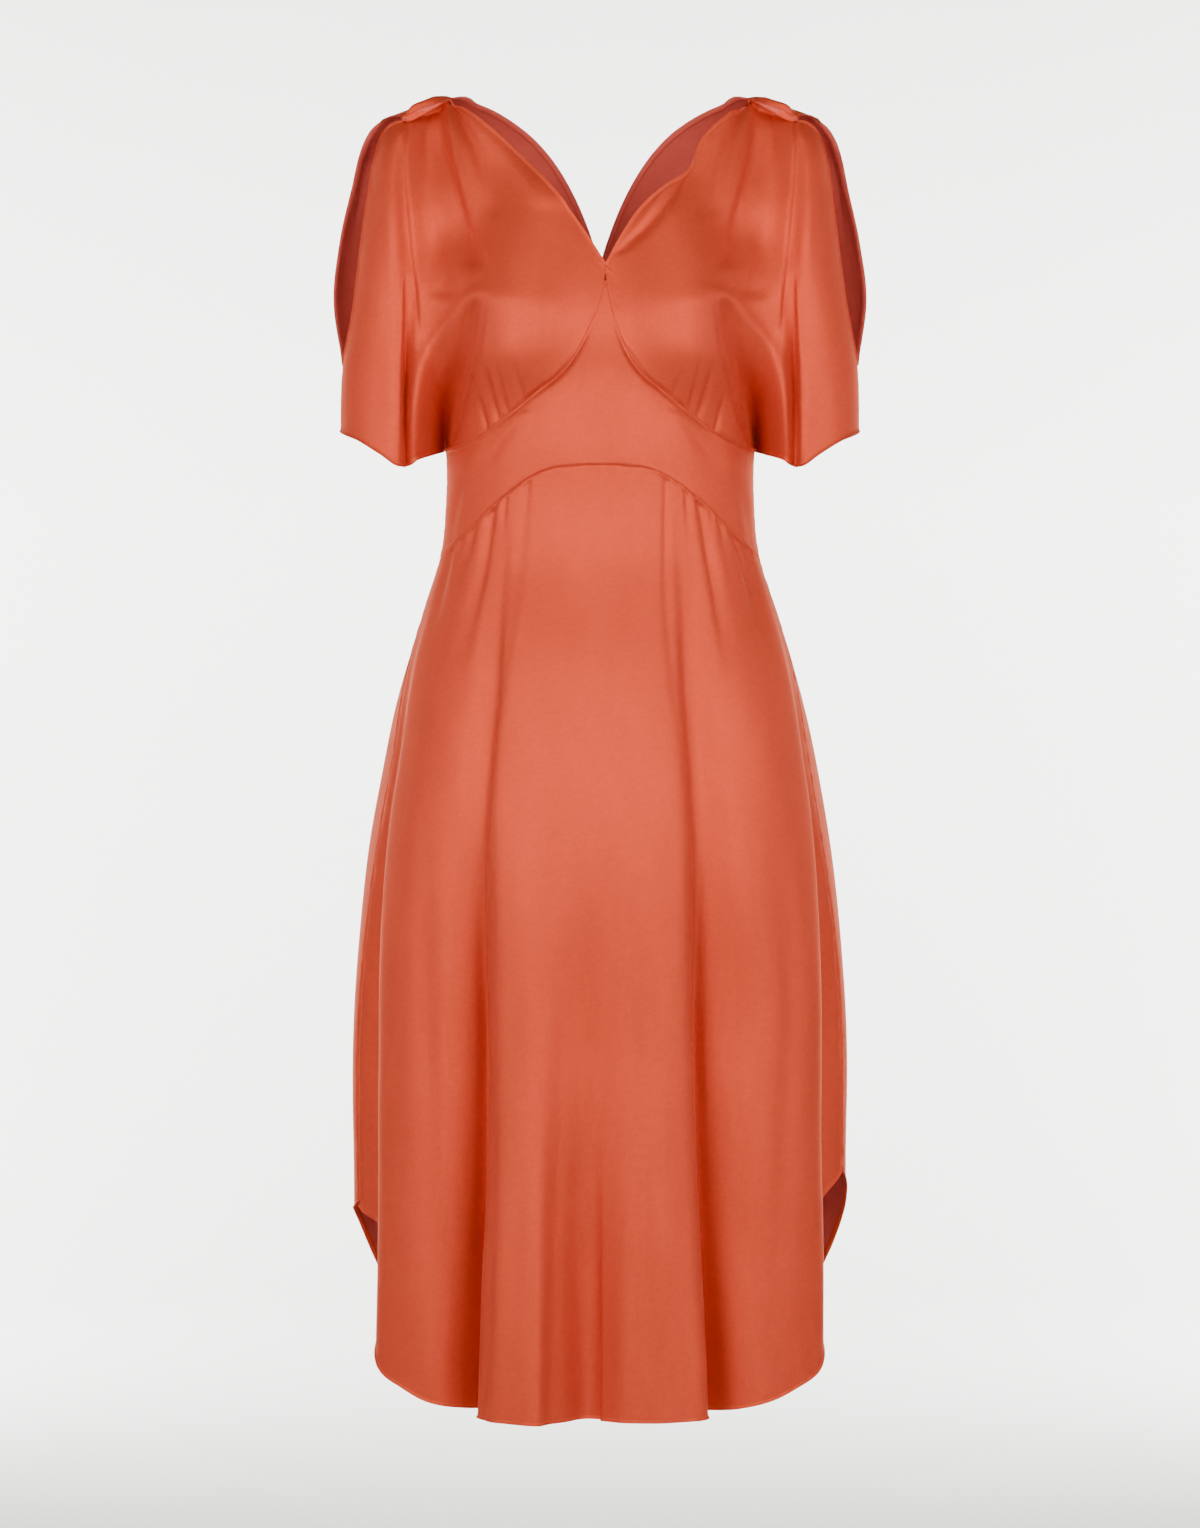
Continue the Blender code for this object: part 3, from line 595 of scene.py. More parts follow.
def bodice(front, side):
    """The surface of a bodice piece: u runs from the middle to the sleeve, v from top to foot."""
    turn = 1 if side == "left" else -1
    lies = -1 if front else 1
    band = BAND_FRONT if front else BAND_BACK
    slit = SLIT_FRONT if front else SLIT_BACK
    outer = 3 if front else 4

    def top(u):
        share = np.clip(u / AT_SHOULDER, 0, 1)
        x, way = front_neckline(share, side) if front else back_neckline(share)
        seam_x, _, seam_way = edge(SHOULDER_SEAM, (u - AT_SHOULDER) / (AT_SLIT - AT_SHOULDER))
        slit_x, _, slit_way = edge(slit, (u - AT_SLIT) / (1 - AT_SLIT))
        x = np.where(u > AT_SLIT, slit_x, np.where(u > AT_SHOULDER, seam_x, x))
        return x, np.where(u > AT_SLIT, slit_way, np.where(u > AT_SHOULDER, seam_way, way))

    def foot(u):
        share = seam_share(u)
        hem = SLEEVE_HEM if front else SLEEVE_HEM_BACK
        hem_x, hem_z, _ = edge(hem, (u - AT_UNDERARM) / (1 - AT_UNDERARM))
        seam_z = band_height(band, 1, share)
        return np.where(u > AT_UNDERARM, hem_x, share * UNDERARM), np.where(u > AT_UNDERARM, hem_z, seam_z)

    def surface(u, v):
        x0, start = top(u)
        x1, z1 = foot(u)
        height = crest(x0)
        end = lies * np.sqrt(height - z1)
        way = mix(start, end, v)
        drop = way * way
        z = height - drop
        down = (way * np.abs(way) - start * np.abs(start)) / (end * np.abs(end) - start * np.abs(start))
        reach0 = x0 / column(SLEEVE, outer, height - start**2)
        reach1 = x1 / column(SLEEVE, outer, z1)
        x = mix(reach0, reach1, down) * column(SLEEVE, outer, z)
        before = bodice_depth(x, z, drop, True)
        behind = bodice_depth(x, z, drop, False)
        y = np.where(way < 0, -before, behind)
        return np.stack([turn * x + lean(x, z, front), y, z], axis=-1)

    return surface


def band(front):
    """The surface of a midriff band: u runs from -1 to 1 across the body, v from top to foot."""
    table = BAND_FRONT if front else BAND_BACK

    def surface(u, v):
        share = np.sin(u * pi / 2)
        z = mix(band_height(table, 1, share), band_height(table, 2, share), v)
        half = column(SECTIONS, 1, z)
        x = share * np.where(z > -UNDERARM_DOWN, UNDERARM, half)
        over_waist = column(ROLL, 1 if front else 2, -z)
        depth = np.where(z > -UNDERARM_DOWN, over_waist, column(SECTIONS, 2 if front else 3, z))
        y = depth * oval(x / half)
        if front:
            y = -(y + bust(x, z))
        return np.stack([x + lean(x, z, front), y, z], axis=-1)

    return surface


def skirt_lines():
    """The skirt's folds, and where each lies round the cloth, with one more before and after."""
    rows = np.array([row[1:] for row in SKIRT_FOLDS], float)
    place = np.concatenate([[0], np.cumsum(np.hypot(np.diff(rows[:, 3]), np.diff(rows[:, 4])))])
    left = place[LEFT_SEAM]
    behind = 0.5 + (place - left) / (place[-1] - left) / 2
    place = np.where(place <= left, place / left / 2, behind)
    turn = np.zeros(rows.shape[1])
    turn[0] = 360
    place = np.concatenate([[place[-2] - 1], place, [place[1] + 1]])
    return place, np.concatenate([rows[-2:-1] - turn, rows, rows[1:2] + turn])


def skirt(u, v):
    """The surface of the skirt: u runs once round from the right seam, v from waist to hem."""
    place, rows = skirt_lines()
    angle = np.radians(curve(place, rows[:, 0], u))
    front = u <= 0.5
    from_seam = 1 - np.abs(1 - 4 * (u % 0.5))
    top = np.where(front, band_height(BAND_FRONT, 2, np.sin(angle)), band_height(BAND_BACK, 2, np.sin(angle)))
    hem = np.where(front, column(HEM, 1, from_seam, unit=1), column(HEM, 2, from_seam, unit=1))
    lower = np.where(front, HEM_LOWER, HEM_LOWER - 0.003) * (np.abs(u - 0.5) > 0.25)
    hem -= lower * np.exp(-((from_seam / HEM_LOWER_WIDE) ** 2))
    z = mix(top, hem, v)
    half = column(SECTIONS, 1, z)
    depth = np.where(front, column(SECTIONS, 2, z), column(SECTIONS, 3, z))

    hips, thighs, foot = (level * MM for level in FOLD_LEVELS)
    upper = ease((z - hips) / (thighs - hips))
    lower = np.clip((z - thighs) / (foot - thighs), 0, 1)
    lower = mix(lower, ease(lower), 0.5)
    folded = []
    for axis in (1, 2):
        shares = [
            curve(place, rows[:, axis + 2 * n] * MM / column(SECTIONS, 1, level), u)
            for n, level in enumerate((hips, thighs, foot))
        ]
        folded.append(mix(mix(shares[0], shares[1], upper), shares[2], lower) * half)

    formed = ease((top - z) / FOLDS_FORM)
    x = mix(half * np.sin(angle), folded[0], formed)
    y = mix(-depth * np.cos(angle), folded[1], formed)
    return np.stack([x, y, z], axis=-1)


# ---------------------------------------------------------------- creases, hems and seams


def crease_lift(table, x, z):
    """How far a table's creases lift the cloth, along its normal."""
    lift = np.zeros_like(x)
    for side, way, inner, outer, spread, heights in table:
        here = np.ones_like(x) if side == "both" else (x > 0) == (side == "left")
        line_x = np.array([p[0] for p in way]) * MM
        line_z = np.array([p[1] for p in way]) * MM
        middle = curve(-line_z, line_x, -z)
        steep = np.gradient(curve(-line_z, line_x, np.linspace(-line_z[0], -line_z[-1], 60)))
        slant = np.hypot(1, np.mean(np.abs(steep)) * 59 / (line_z[0] - line_z[-1]))
        along = (line_z[0] - z) / (line_z[0] - line_z[-1])
        off = (np.abs(x) - middle) / slant
        wide = np.where(off < 0, inner, outer) * MM * mix(1, spread, np.clip(along, 0, 1))
        high = curve([0, 0.5, 1], heights, along) * MM
        ends = ease(along / 0.10 + 0.5) * ease((1 - along) / 0.10 + 0.5)
        lift += here * high * np.exp(-((off / wide) ** 2)) * ends
    return lift


def swell_lift(table, x, z):
    """How far a table's swells lift the cloth, along its normal."""
    lift = np.zeros_like(x)
    for side, middle, height, wide, tall, high in table:
        here = np.ones_like(x) if side == "both" else (x > 0) == (side == "left")
        across, up = (np.abs(x) - middle * MM) / (wide * MM), (z - height * MM) / (tall * MM)
        lift += here * high * MM * np.exp(-(across**2) - up**2)
    return lift


def unevenness(points):
    """Slight, broad waves that no real cloth is without."""
    x, y, z = (points[..., i] for i in range(3))
    waves = np.sin(41 * x + 9 * z + 3 * y) * np.sin(23 * z + 2) + 0.7 * np.sin(67 * x - 17 * z + 1)
    return 0.0005 * (waves + 0.5 * np.sin(118 * x + 31 * z + 40 * y))


def away_from(points, line):
    """How far each point of a grid is from a line, for those that are near it."""
    flat = points.reshape(-1, 3)
    rough = line[:: max(1, len(line) // 40)]
    spacing = np.linalg.norm(np.diff(rough, axis=0), axis=1).max() if len(rough) > 1 else 0
    coarse = np.full(len(flat), np.inf)
    for p in rough:
        coarse = np.minimum(coarse, np.linalg.norm(flat - p, axis=1))
    far = coarse.copy()
    near = np.nonzero(coarse < 0.02 + spacing)[0]
    a, step = line[:-1], np.diff(line, axis=0)
    long2 = np.maximum((step**2).sum(1), 1e-15)
    for start in range(0, len(near), 2000):
        part = near[start : start + 2000]
        rel = flat[part][:, None] - a
        t = np.clip((rel * step).sum(-1) / long2, 0, 1)
        far[part] = np.sqrt(((rel - t[..., None] * step) ** 2).sum(-1).min(1))
    return far.reshape(points.shape[:-1])


def hem_lift(far, wide):
    """A turned hem: proud up to its stitching, which pulls the cloth in, with a rolled edge."""
    turned = 0.00045 * ease((wide + 0.0008 - far) / 0.0008)
    edge_roll = 0.0008 * np.exp(-((far / 0.0010) ** 2))
    return turned + edge_roll - 0.0006 * np.exp(-(((far - wide * 0.85) / 0.0006) ** 2))


def seam_lift(far, points, deep, wide):
    """A sewn seam: a narrow groove, with the cloth slightly puckered beside it."""
    x, y, z = (points[..., i] for i in range(3))
    way = x + 0.6 * y + 0.8 * z
    pucker = np.sin(way * 760) + 0.8 * np.sin(way * 1130 + 2) + 0.6 * np.sin(way * 421 + 1)
    groove = -deep * np.exp(-((far / wide) ** 2))
    puckered = 0.00011 * min(deep / 0.0006, 3.5)
    return groove + puckered * pucker * np.exp(-((far / 0.007) ** 2)) * ease(far / 0.001)


def normals_of(points, outward):
    """Each grid point's direction out of the cloth."""
    along, fall = np.gradient(points, axis=1), np.gradient(points, axis=0)
    return outward * unit(np.cross(unit(along), unit(fall)))


# ---------------------------------------------------------------- materials


def add_node(tree, kind, settings=None, links=()):
    """A node of a kind, with its properties and input values set, and its inputs linked."""
    node = tree.nodes.new(kind)
    for name, value in (settings or {}).items():
        if isinstance(name, int) or name in node.inputs:
            node.inputs[name].default_value = value
        else:
            setattr(node, name, value)
    for name, output in links:
        tree.links.new(output, node.inputs[name])
    return node


def woven_cloth(name, colour, shades, grain, shine):
    """A woven cloth: fine ribs down the warp, faint slubs across it, and a soft sheen.

    shades are the darkest and lightest that the threads vary to, grain is the bump's strength, and
    shine is the shader's own values. The satin's threads are 0.1 mm apart, too fine to show, so
    the ribs are drawn 0.9 mm apart and 6 mm long, and the slubs 6 mm wide and 2.4 mm tall.
    """
    material = bpy.data.materials.new(name)
    material.use_nodes = True
    tree = material.node_tree
    tree.nodes.clear()
    place = add_node(tree, "ShaderNodeTexCoord").outputs["Object"]
    waves = []
    for scale, detail in (((1100, 1100, 170), 2), ((170, 170, 420), 3), ((28, 28, 9), 2)):
        at = add_node(tree, "ShaderNodeMapping", {"Scale": scale}, [("Vector", place)])
        noise = add_node(
            tree,
            "ShaderNodeTexNoise",
            {"Scale": 1.0, "Detail": detail, "Roughness": 0.6},
            [("Vector", at.outputs["Vector"])],
        )
        waves.append(noise.outputs["Fac"])
    fine_pair = add_node(tree, "ShaderNodeMath", {"operation": "ADD"}, [(0, waves[0]), (1, waves[1])])
    every = add_node(
        tree, "ShaderNodeMath", {"operation": "ADD"}, [(0, fine_pair.outputs["Value"]), (1, waves[2])]
    )
    shade = add_node(
        tree,
        "ShaderNodeMapRange",
        {"From Min": 1.1, "From Max": 1.9, "To Min": shades[0], "To Max": shades[1]},
        [("Value", every.outputs["Value"])],
    )
    tint = add_node(
        tree,
        "ShaderNodeVectorMath",
        {"operation": "SCALE", 0: colour},
        [("Scale", shade.outputs["Result"])],
    )
    bump = add_node(
        tree,
        "ShaderNodeBump",
        {"Strength": grain, "Distance": 0.0002},
        [("Height", fine_pair.outputs["Value"])],
    )
    weft = add_node(tree, "ShaderNodeTangent", {"direction_type": "UV_MAP", "uv_map": "cloth"})
    shader = add_node(
        tree,
        "ShaderNodeBsdfPrincipled",
        shine,
        [
            ("Base Color", tint.outputs["Vector"]),
            ("Normal", bump.outputs["Normal"]),
            ("Tangent", weft.outputs["Tangent"]),
        ],
    )
    add_node(tree, "ShaderNodeOutputMaterial", None, [("Surface", shader.outputs["BSDF"])])
    return material


def satin_face():
    """The face of crepe-back satin: warp floats run down the cloth and spread its gloss sideways."""
    shine = {
        "Metallic": 0.6,
        "Roughness": 0.55,
        "IOR": 1.35,
        "Specular IOR Level": 0.5,
        "Specular Tint": (1.0, 0.5, 0.25, 1),
        "Anisotropic": 0.6,
        "Sheen Weight": 0.06,
        "Sheen Roughness": 0.4,
        "Sheen Tint": (1.0, 0.62, 0.42, 1),
    }
    return woven_cloth(SATIN_FACE, bpy.context.scene.dress_colour.face, (0.92, 1.08), 0.3, shine)


def satin_reverse():
    """The crepe back: twisted weft gives a dull, pebbled surface and a deeper colour."""
    shine = {
        "Roughness": 0.75,
        "IOR": 1.5,
        "Specular IOR Level": 0.25,
        "Sheen Weight": 0.12,
        "Sheen Roughness": 0.5,
        "Sheen Tint": (1.0, 0.55, 0.5, 1),
    }
    colour = bpy.context.scene.dress_colour.reverse
    return woven_cloth(SATIN_REVERSE, colour, (0.93, 1.07), 0.4, shine)


def spun_thread():
    """Polyester sewing thread: twisted filaments with a slight gloss."""
    material = bpy.data.materials.new(THREAD)
    material.use_nodes = True
    tree = material.node_tree
    shader = tree.nodes["Principled BSDF"]
    shader.inputs["Roughness"].default_value = 0.5
    place = add_node(tree, "ShaderNodeTexCoord").outputs["Object"]
    twist = add_node(
        tree,
        "ShaderNodeTexWave",
        {"Scale": 1600.0, "Distortion": 1.5, "bands_direction": "DIAGONAL"},
        [("Vector", place)],
    )
    colour = bpy.context.scene.dress_colour.thread
    tint = add_node(
        tree, "ShaderNodeMapRange", {"To Min": 0.8, "To Max": 1.15}, [("Value", twist.outputs["Fac"])]
    )
    shade = add_node(
        tree, "ShaderNodeVectorMath", {"operation": "SCALE", 0: colour}, [("Scale", tint.outputs["Result"])]
    )
    tree.links.new(shade.outputs["Vector"], shader.inputs["Base Color"])
    return material


MATERIALS = {SATIN_FACE: satin_face, SATIN_REVERSE: satin_reverse, THREAD: spun_thread}


def material_named(name):
    """A material that is made once and then used by every piece."""
    return bpy.data.materials.get(name) or MATERIALS[name]()


# ---------------------------------------------------------------- building pieces


def grid_mesh(name, points, flip):
    """A mesh of four-sided faces through a grid of points, smooth.

    Its UV map is the level way round the dress and the height, so that the weft lies level.
    """
    rows, columns = points.shape[:2]
    r, c = np.meshgrid(np.arange(rows - 1), np.arange(columns - 1), indexing="ij")
    first = (r * columns + c).ravel()
    faces = np.stack([first, first + 1, first + columns + 1, first + columns], axis=-1)
    if flip:
        faces = faces[:, ::-1]
    corners = faces.reshape(-1)
    mesh = bpy.data.meshes.new(name)
    mesh.vertices.add(rows * columns)
    mesh.vertices.foreach_set("co", points.reshape(-1).astype(np.float32))
    mesh.loops.add(len(corners))
    mesh.loops.foreach_set("vertex_index", corners.astype(np.int32))
    mesh.polygons.add(len(faces))
    mesh.polygons.foreach_set("loop_start", np.arange(0, len(corners), 4, dtype=np.int32))
    mesh.update(calc_edges=True)
    level = np.diff(points[..., :2], axis=1, prepend=points[:, :1, :2])
    around = np.linalg.norm(level, axis=-1).cumsum(1)
    ways = np.stack([around.ravel(), points[..., 2].ravel()], axis=-1)[corners]
    layer = mesh.uv_layers.new(name="cloth")
    layer.data.foreach_set("uv", ways.reshape(-1).astype(np.float32))
    mesh.shade_smooth()
    return mesh


def sewn_on(piece):
    """Links a piece into the scene, riding with the dress."""
    bpy.context.scene.collection.objects.link(piece)
    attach(piece, "root")
    return piece


def cloth_object(name, points, flip, thickness, materials):
    """A thin sheet of cloth through a grid of points, with its face outward."""
    mesh = grid_mesh(name, points, flip)
    for material in materials:
        mesh.materials.append(material_named(material))
    piece = bpy.data.objects.new(name, mesh)
    shell = piece.modifiers.new("thickness", "SOLIDIFY")
    shell.thickness = thickness
    shell.offset = -1
    shell.material_offset = len(materials) - 1
    shell.use_quality_normals = True
    return sewn_on(piece)


def at_distances(values, far, from_top, distances):
    """A grid's values at some distances from its top or foot edge, down each of its columns."""
    order = slice(None) if from_top else slice(None, None, -1)
    values, far = values[order], np.maximum.accumulate(far[order], axis=0)
    far = far + np.arange(len(far))[:, None] * 1e-9
    out = np.empty((len(distances), values.shape[1], 3))
    for c in range(values.shape[1]):
        for axis in range(3):
            out[:, c, axis] = np.interp(distances, far[:, c], values[:, c, axis])
    return out


def turned_hem(name, points, normals, far, from_top, outward, finish):
    """The cloth turned to the inside along an edge."""
    cloth = bpy.context.scene.dress_cloth
    distances = cloth.turning * np.array([0.03, 0.15, 0.4, 0.7, 0.92, 1.0])
    inward = cloth.thickness + 0.0006 - 0.0003 * np.array([1.0, 0, 0, 0, 0, 0.6])
    strip = at_distances(points, far, from_top, distances)
    strip -= at_distances(normals, far, from_top, distances) * inward[:, None, None]
    flip = (outward < 0) != from_top
    return cloth_object(name, strip, flip, 0.0004, [finish])


def stitches(name, lines):
    """A row of small stitches along each line: a line is its points and their normals."""
    cloth = bpy.context.scene.dress_cloth
    sides = 6
    around = np.linspace(0, 2 * pi, sides, endpoint=False)
    # each stitch dips into the cloth at both ends: share of its length, thickness, height
    profile = ((-0.40, 0.45, -0.5), (-0.30, 1.0, 0.5), (0.0, 1.0, 0.9), (0.30, 1.0, 0.5), (0.40, 0.45, -0.5))
    thick = 0.00022
    places, faces = [], []
    for line, up in lines:
        way = np.concatenate([[0], np.linalg.norm(np.diff(line, axis=0), axis=1).cumsum()])
        count = int(way[-1] / cloth.stitch)
        if count < 2:
            continue
        middles = (np.arange(count) + 0.5) * way[-1] / count
        ends = [np.stack([np.interp(middles + shift, way, line[:, i]) for i in range(3)], -1)
                for shift in (-cloth.stitch / 2, 0, cloth.stitch / 2)]
        lift = unit(np.stack([np.interp(middles, way, up[:, i]) for i in range(3)], -1))
        ahead = unit(ends[2] - ends[0])
        across = np.cross(ahead, lift)
        for share, wide, high in profile:
            centre = ends[1] + ahead * (share * cloth.stitch) + lift * (high * thick)
            ring = np.cos(around)[None, :, None] * across[:, None] + np.sin(around)[None, :, None] * lift[:, None]
            places.append((centre[:, None] + ring * (thick * wide)).reshape(-1, 3))
        start = sum(len(p) for p in places) - len(profile) * count * sides
        for n in range(count):
            rings = [start + (k * count + n) * sides + np.arange(sides) for k in range(len(profile))]
            faces.append(rings[0][::-1].tolist())
            faces.append(rings[-1].tolist())
            for near, next_ in zip(rings, rings[1:]):
                for i in range(sides):
                    j = (i + 1) % sides
                    faces.append([int(near[i]), int(near[j]), int(next_[j]), int(next_[i])])
    mesh = bpy.data.meshes.new(name)
    mesh.from_pydata(np.concatenate(places).tolist(), [], faces)
    mesh.shade_smooth()
    mesh.materials.append(material_named(THREAD))
    return sewn_on(bpy.data.objects.new(name, mesh))


def cloth_piece(name, surface, u, v, outward, creases, pushed, hems, seams, rolled=0):
    """A piece of cloth on a surface, with its creases, hems and seams, standing for its solid.

    pushed is its deep folds and its swells, which go straight forward or back from the cloth.
    rolled is the share of the shoulder's roll that it takes.
    A hem is an edge (top or foot), the span of u that it takes, and the material that its turned
    cloth shows. A seam is an edge and a span too, or the start or end column, and how deep and
    wide its groove is in millimetres.
    """
    cloth = bpy.context.scene.dress_cloth
    across, down = np.meshgrid(u, v)
    points = surface(across, down)
    x, z = points[..., 0].copy(), points[..., 2].copy()

    def span_of(low, high):
        return (u >= low - 1e-9) & (u <= high + 1e-9)

    def far_from(which, low, high):
        if which in ("start", "end"):
            return away_from(points, points[:, 0 if which == "start" else -1])
        return away_from(points, points[0 if which == "top" else -1, span_of(low, high)])

    held = np.ones_like(x)
    grooves = np.zeros_like(x)
    for which, low, high, deep, wide in seams:
        far = far_from(which, low, high)
        held *= ease(far / cloth.seam_reach)
        grooves += seam_lift(far, points, deep * MM, wide * MM)
        if which == "top" and low == AT_SHOULDER:
            along = (across - low) / (high - low)
            roll = column(SHOULDER_ROLL, 1, along, unit=1) * ease(far / ROLL_IN)
            roll *= rolled * np.exp(-(((far - ROLL_IN) / ROLL_WIDE) ** 2))
            groove = column(SHOULDER_ROLL, 2, along, unit=1) * np.exp(-((far / GROOVE_WIDE) ** 2))
            grooves += (roll - groove) * ease((1.12 - along) / 0.12)
    edges = [(which, span_of(low, high), far_from(which, low, high), finish) for which, low, high, finish in hems]
    if pushed:
        folds, swells, forward = pushed
        push = cloth.creases * (crease_lift(folds, x, z) + swell_lift(swells, x, z))
        points[..., 1] += forward * push * held
    normals = normals_of(points, outward)
    lift = (unevenness(points) + cloth.creases * crease_lift(creases, x, z)) * held + grooves
    for _, _, far, _ in edges:
        lift += hem_lift(far, cloth.hem)
    points = points + normals * lift[..., None]
    normals = normals_of(points, outward)

    sewn, lines = [], []
    for number, (which, span, far, finish) in enumerate(edges, 1):
        part = (points[:, span], normals[:, span], far[:, span])
        sewn.append(turned_hem(f"turned_hem_{name}_{number}", *part, which == "top", outward, finish))
        place = [cloth.hem * 0.85]
        line, up = (at_distances(grid, part[2], which == "top", place)[0] for grid in part[:2])
        lines.append((line, up))
    if lines:
        sewn.append(stitches("stitches_" + name, lines))

    sides = [SATIN_FACE, SATIN_REVERSE]
    piece = cloth_object("satin_" + name, points, outward < 0, cloth.thickness, sides)
    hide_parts(name)
    return piece


def places(start, end, count, near_start=0, near_end=0, reach=0.03):
    """Places from start to end, with more of them beside an end that asks for some."""
    parts = [np.linspace(0, 1, count)]
    if near_start:
        parts.append(reach * np.linspace(0, 1, near_start) ** 1.6)
    if near_end:
        parts.append(1 - reach * np.linspace(0, 1, near_end) ** 1.6)
    return mix(start, end, np.unique(np.round(np.concatenate(parts), 6)))


class DRESS_OT_bodice(bpy.types.Operator):
    """Bodice fronts and backs, each with its half of a slit sleeve"""

    bl_idname = "dress.bodice"
    bl_label = "Bodice and sleeves"

    def execute(self, context):
        columns = [
            places(0, AT_SHOULDER, 40, near_start=6),
            places(AT_SHOULDER, AT_UNDERARM, 74),
            places(AT_UNDERARM, AT_SLIT, 44),
            mix(AT_SLIT, 1, np.linspace(0, 1, 36) ** 1.3),
            1 - 0.012 * np.linspace(0, 1, 6),
        ]
        u = np.unique(np.concatenate(columns))
        v = places(0, 1, 112, near_start=16, near_end=16, reach=0.035)
        for side, turn in (("right", -1), ("left", 1)):
            for front in (True, False):
                cloth_piece(
                    f"bodice_{'front' if front else 'back'}_{side}",
                    bodice(front, side),
                    u,
                    v,
                    -turn if front else turn,
                    BODICE_CREASES if front else BODICE_BACK_CREASES,
                    (BODICE_FOLDS, BODICE_SWELLS, -1) if front else None,
                    [
                        ("top", 0, AT_SHOULDER, SATIN_REVERSE),
                        ("top", AT_SLIT, 1, SATIN_REVERSE),
                        ("foot", AT_UNDERARM, 1, SATIN_FACE),
                    ],
                    [
                        ("foot", 0, AT_UNDERARM, 0.6, 0.8),
                        ("top", AT_SHOULDER, AT_SLIT, 0.6, 0.9),
                        ("start", 0, 0, 0.6, 0.9),
                        ("end", 0, 0, 0.8, 1.2),
                    ],
                    rolled=0 if front else 1,
                )
        return {"FINISHED"}


class DRESS_OT_midriff(bpy.types.Operator):
    """The band under the bust, in front and behind"""

    bl_idname = "dress.midriff"
    bl_label = "Midriff band"

    def execute(self, context):
        u = places(-1, 1, 180, near_start=6, near_end=6, reach=0.02)
        v = places(0, 1, 38, near_start=8, near_end=8, reach=0.06)
        for front in (True, False):
            cloth_piece(
                "midriff_front" if front else "midriff_back",
                band(front),
                u,
                v,
                -1 if front else 1,
                BAND_CREASES if front else [],
                ([], BAND_SWELLS, -1) if front else None,
                [],
                [
                    ("top", -1, 1, 0.6, 0.8),
                    ("foot", -1, 1, 0.7, 0.8),
                    ("start", 0, 0, 0.7, 1.0),
                    ("end", 0, 0, 0.7, 1.0),
                ],
            )
        return {"FINISHED"}


class DRESS_OT_skirt(bpy.types.Operator):
    """Skirt front and back, gathered into the band, with a curved hem"""

    bl_idname = "dress.skirt"
    bl_label = "Skirt"

    def execute(self, context):
        u = places(0, 0.5, 380, near_start=8, near_end=8, reach=0.012)
        v = places(0, 1, 74, near_start=12, near_end=16, reach=0.014)
        for front in (True, False):
            cloth_piece(
                "skirt_front" if front else "skirt_back",
                skirt,
                u if front else u + 0.5,
                v,
                -1,
                SKIRT_FRONT_CREASES if front else SKIRT_BACK_CREASES,
                None,
                [("foot", 0, 1, SATIN_FACE)],
                [("top", 0, 1, 0.7, 0.8), ("start", 0, 0, 1.6, 1.3), ("end", 0, 0, 1.6, 1.3)],
            )
        return {"FINISHED"}


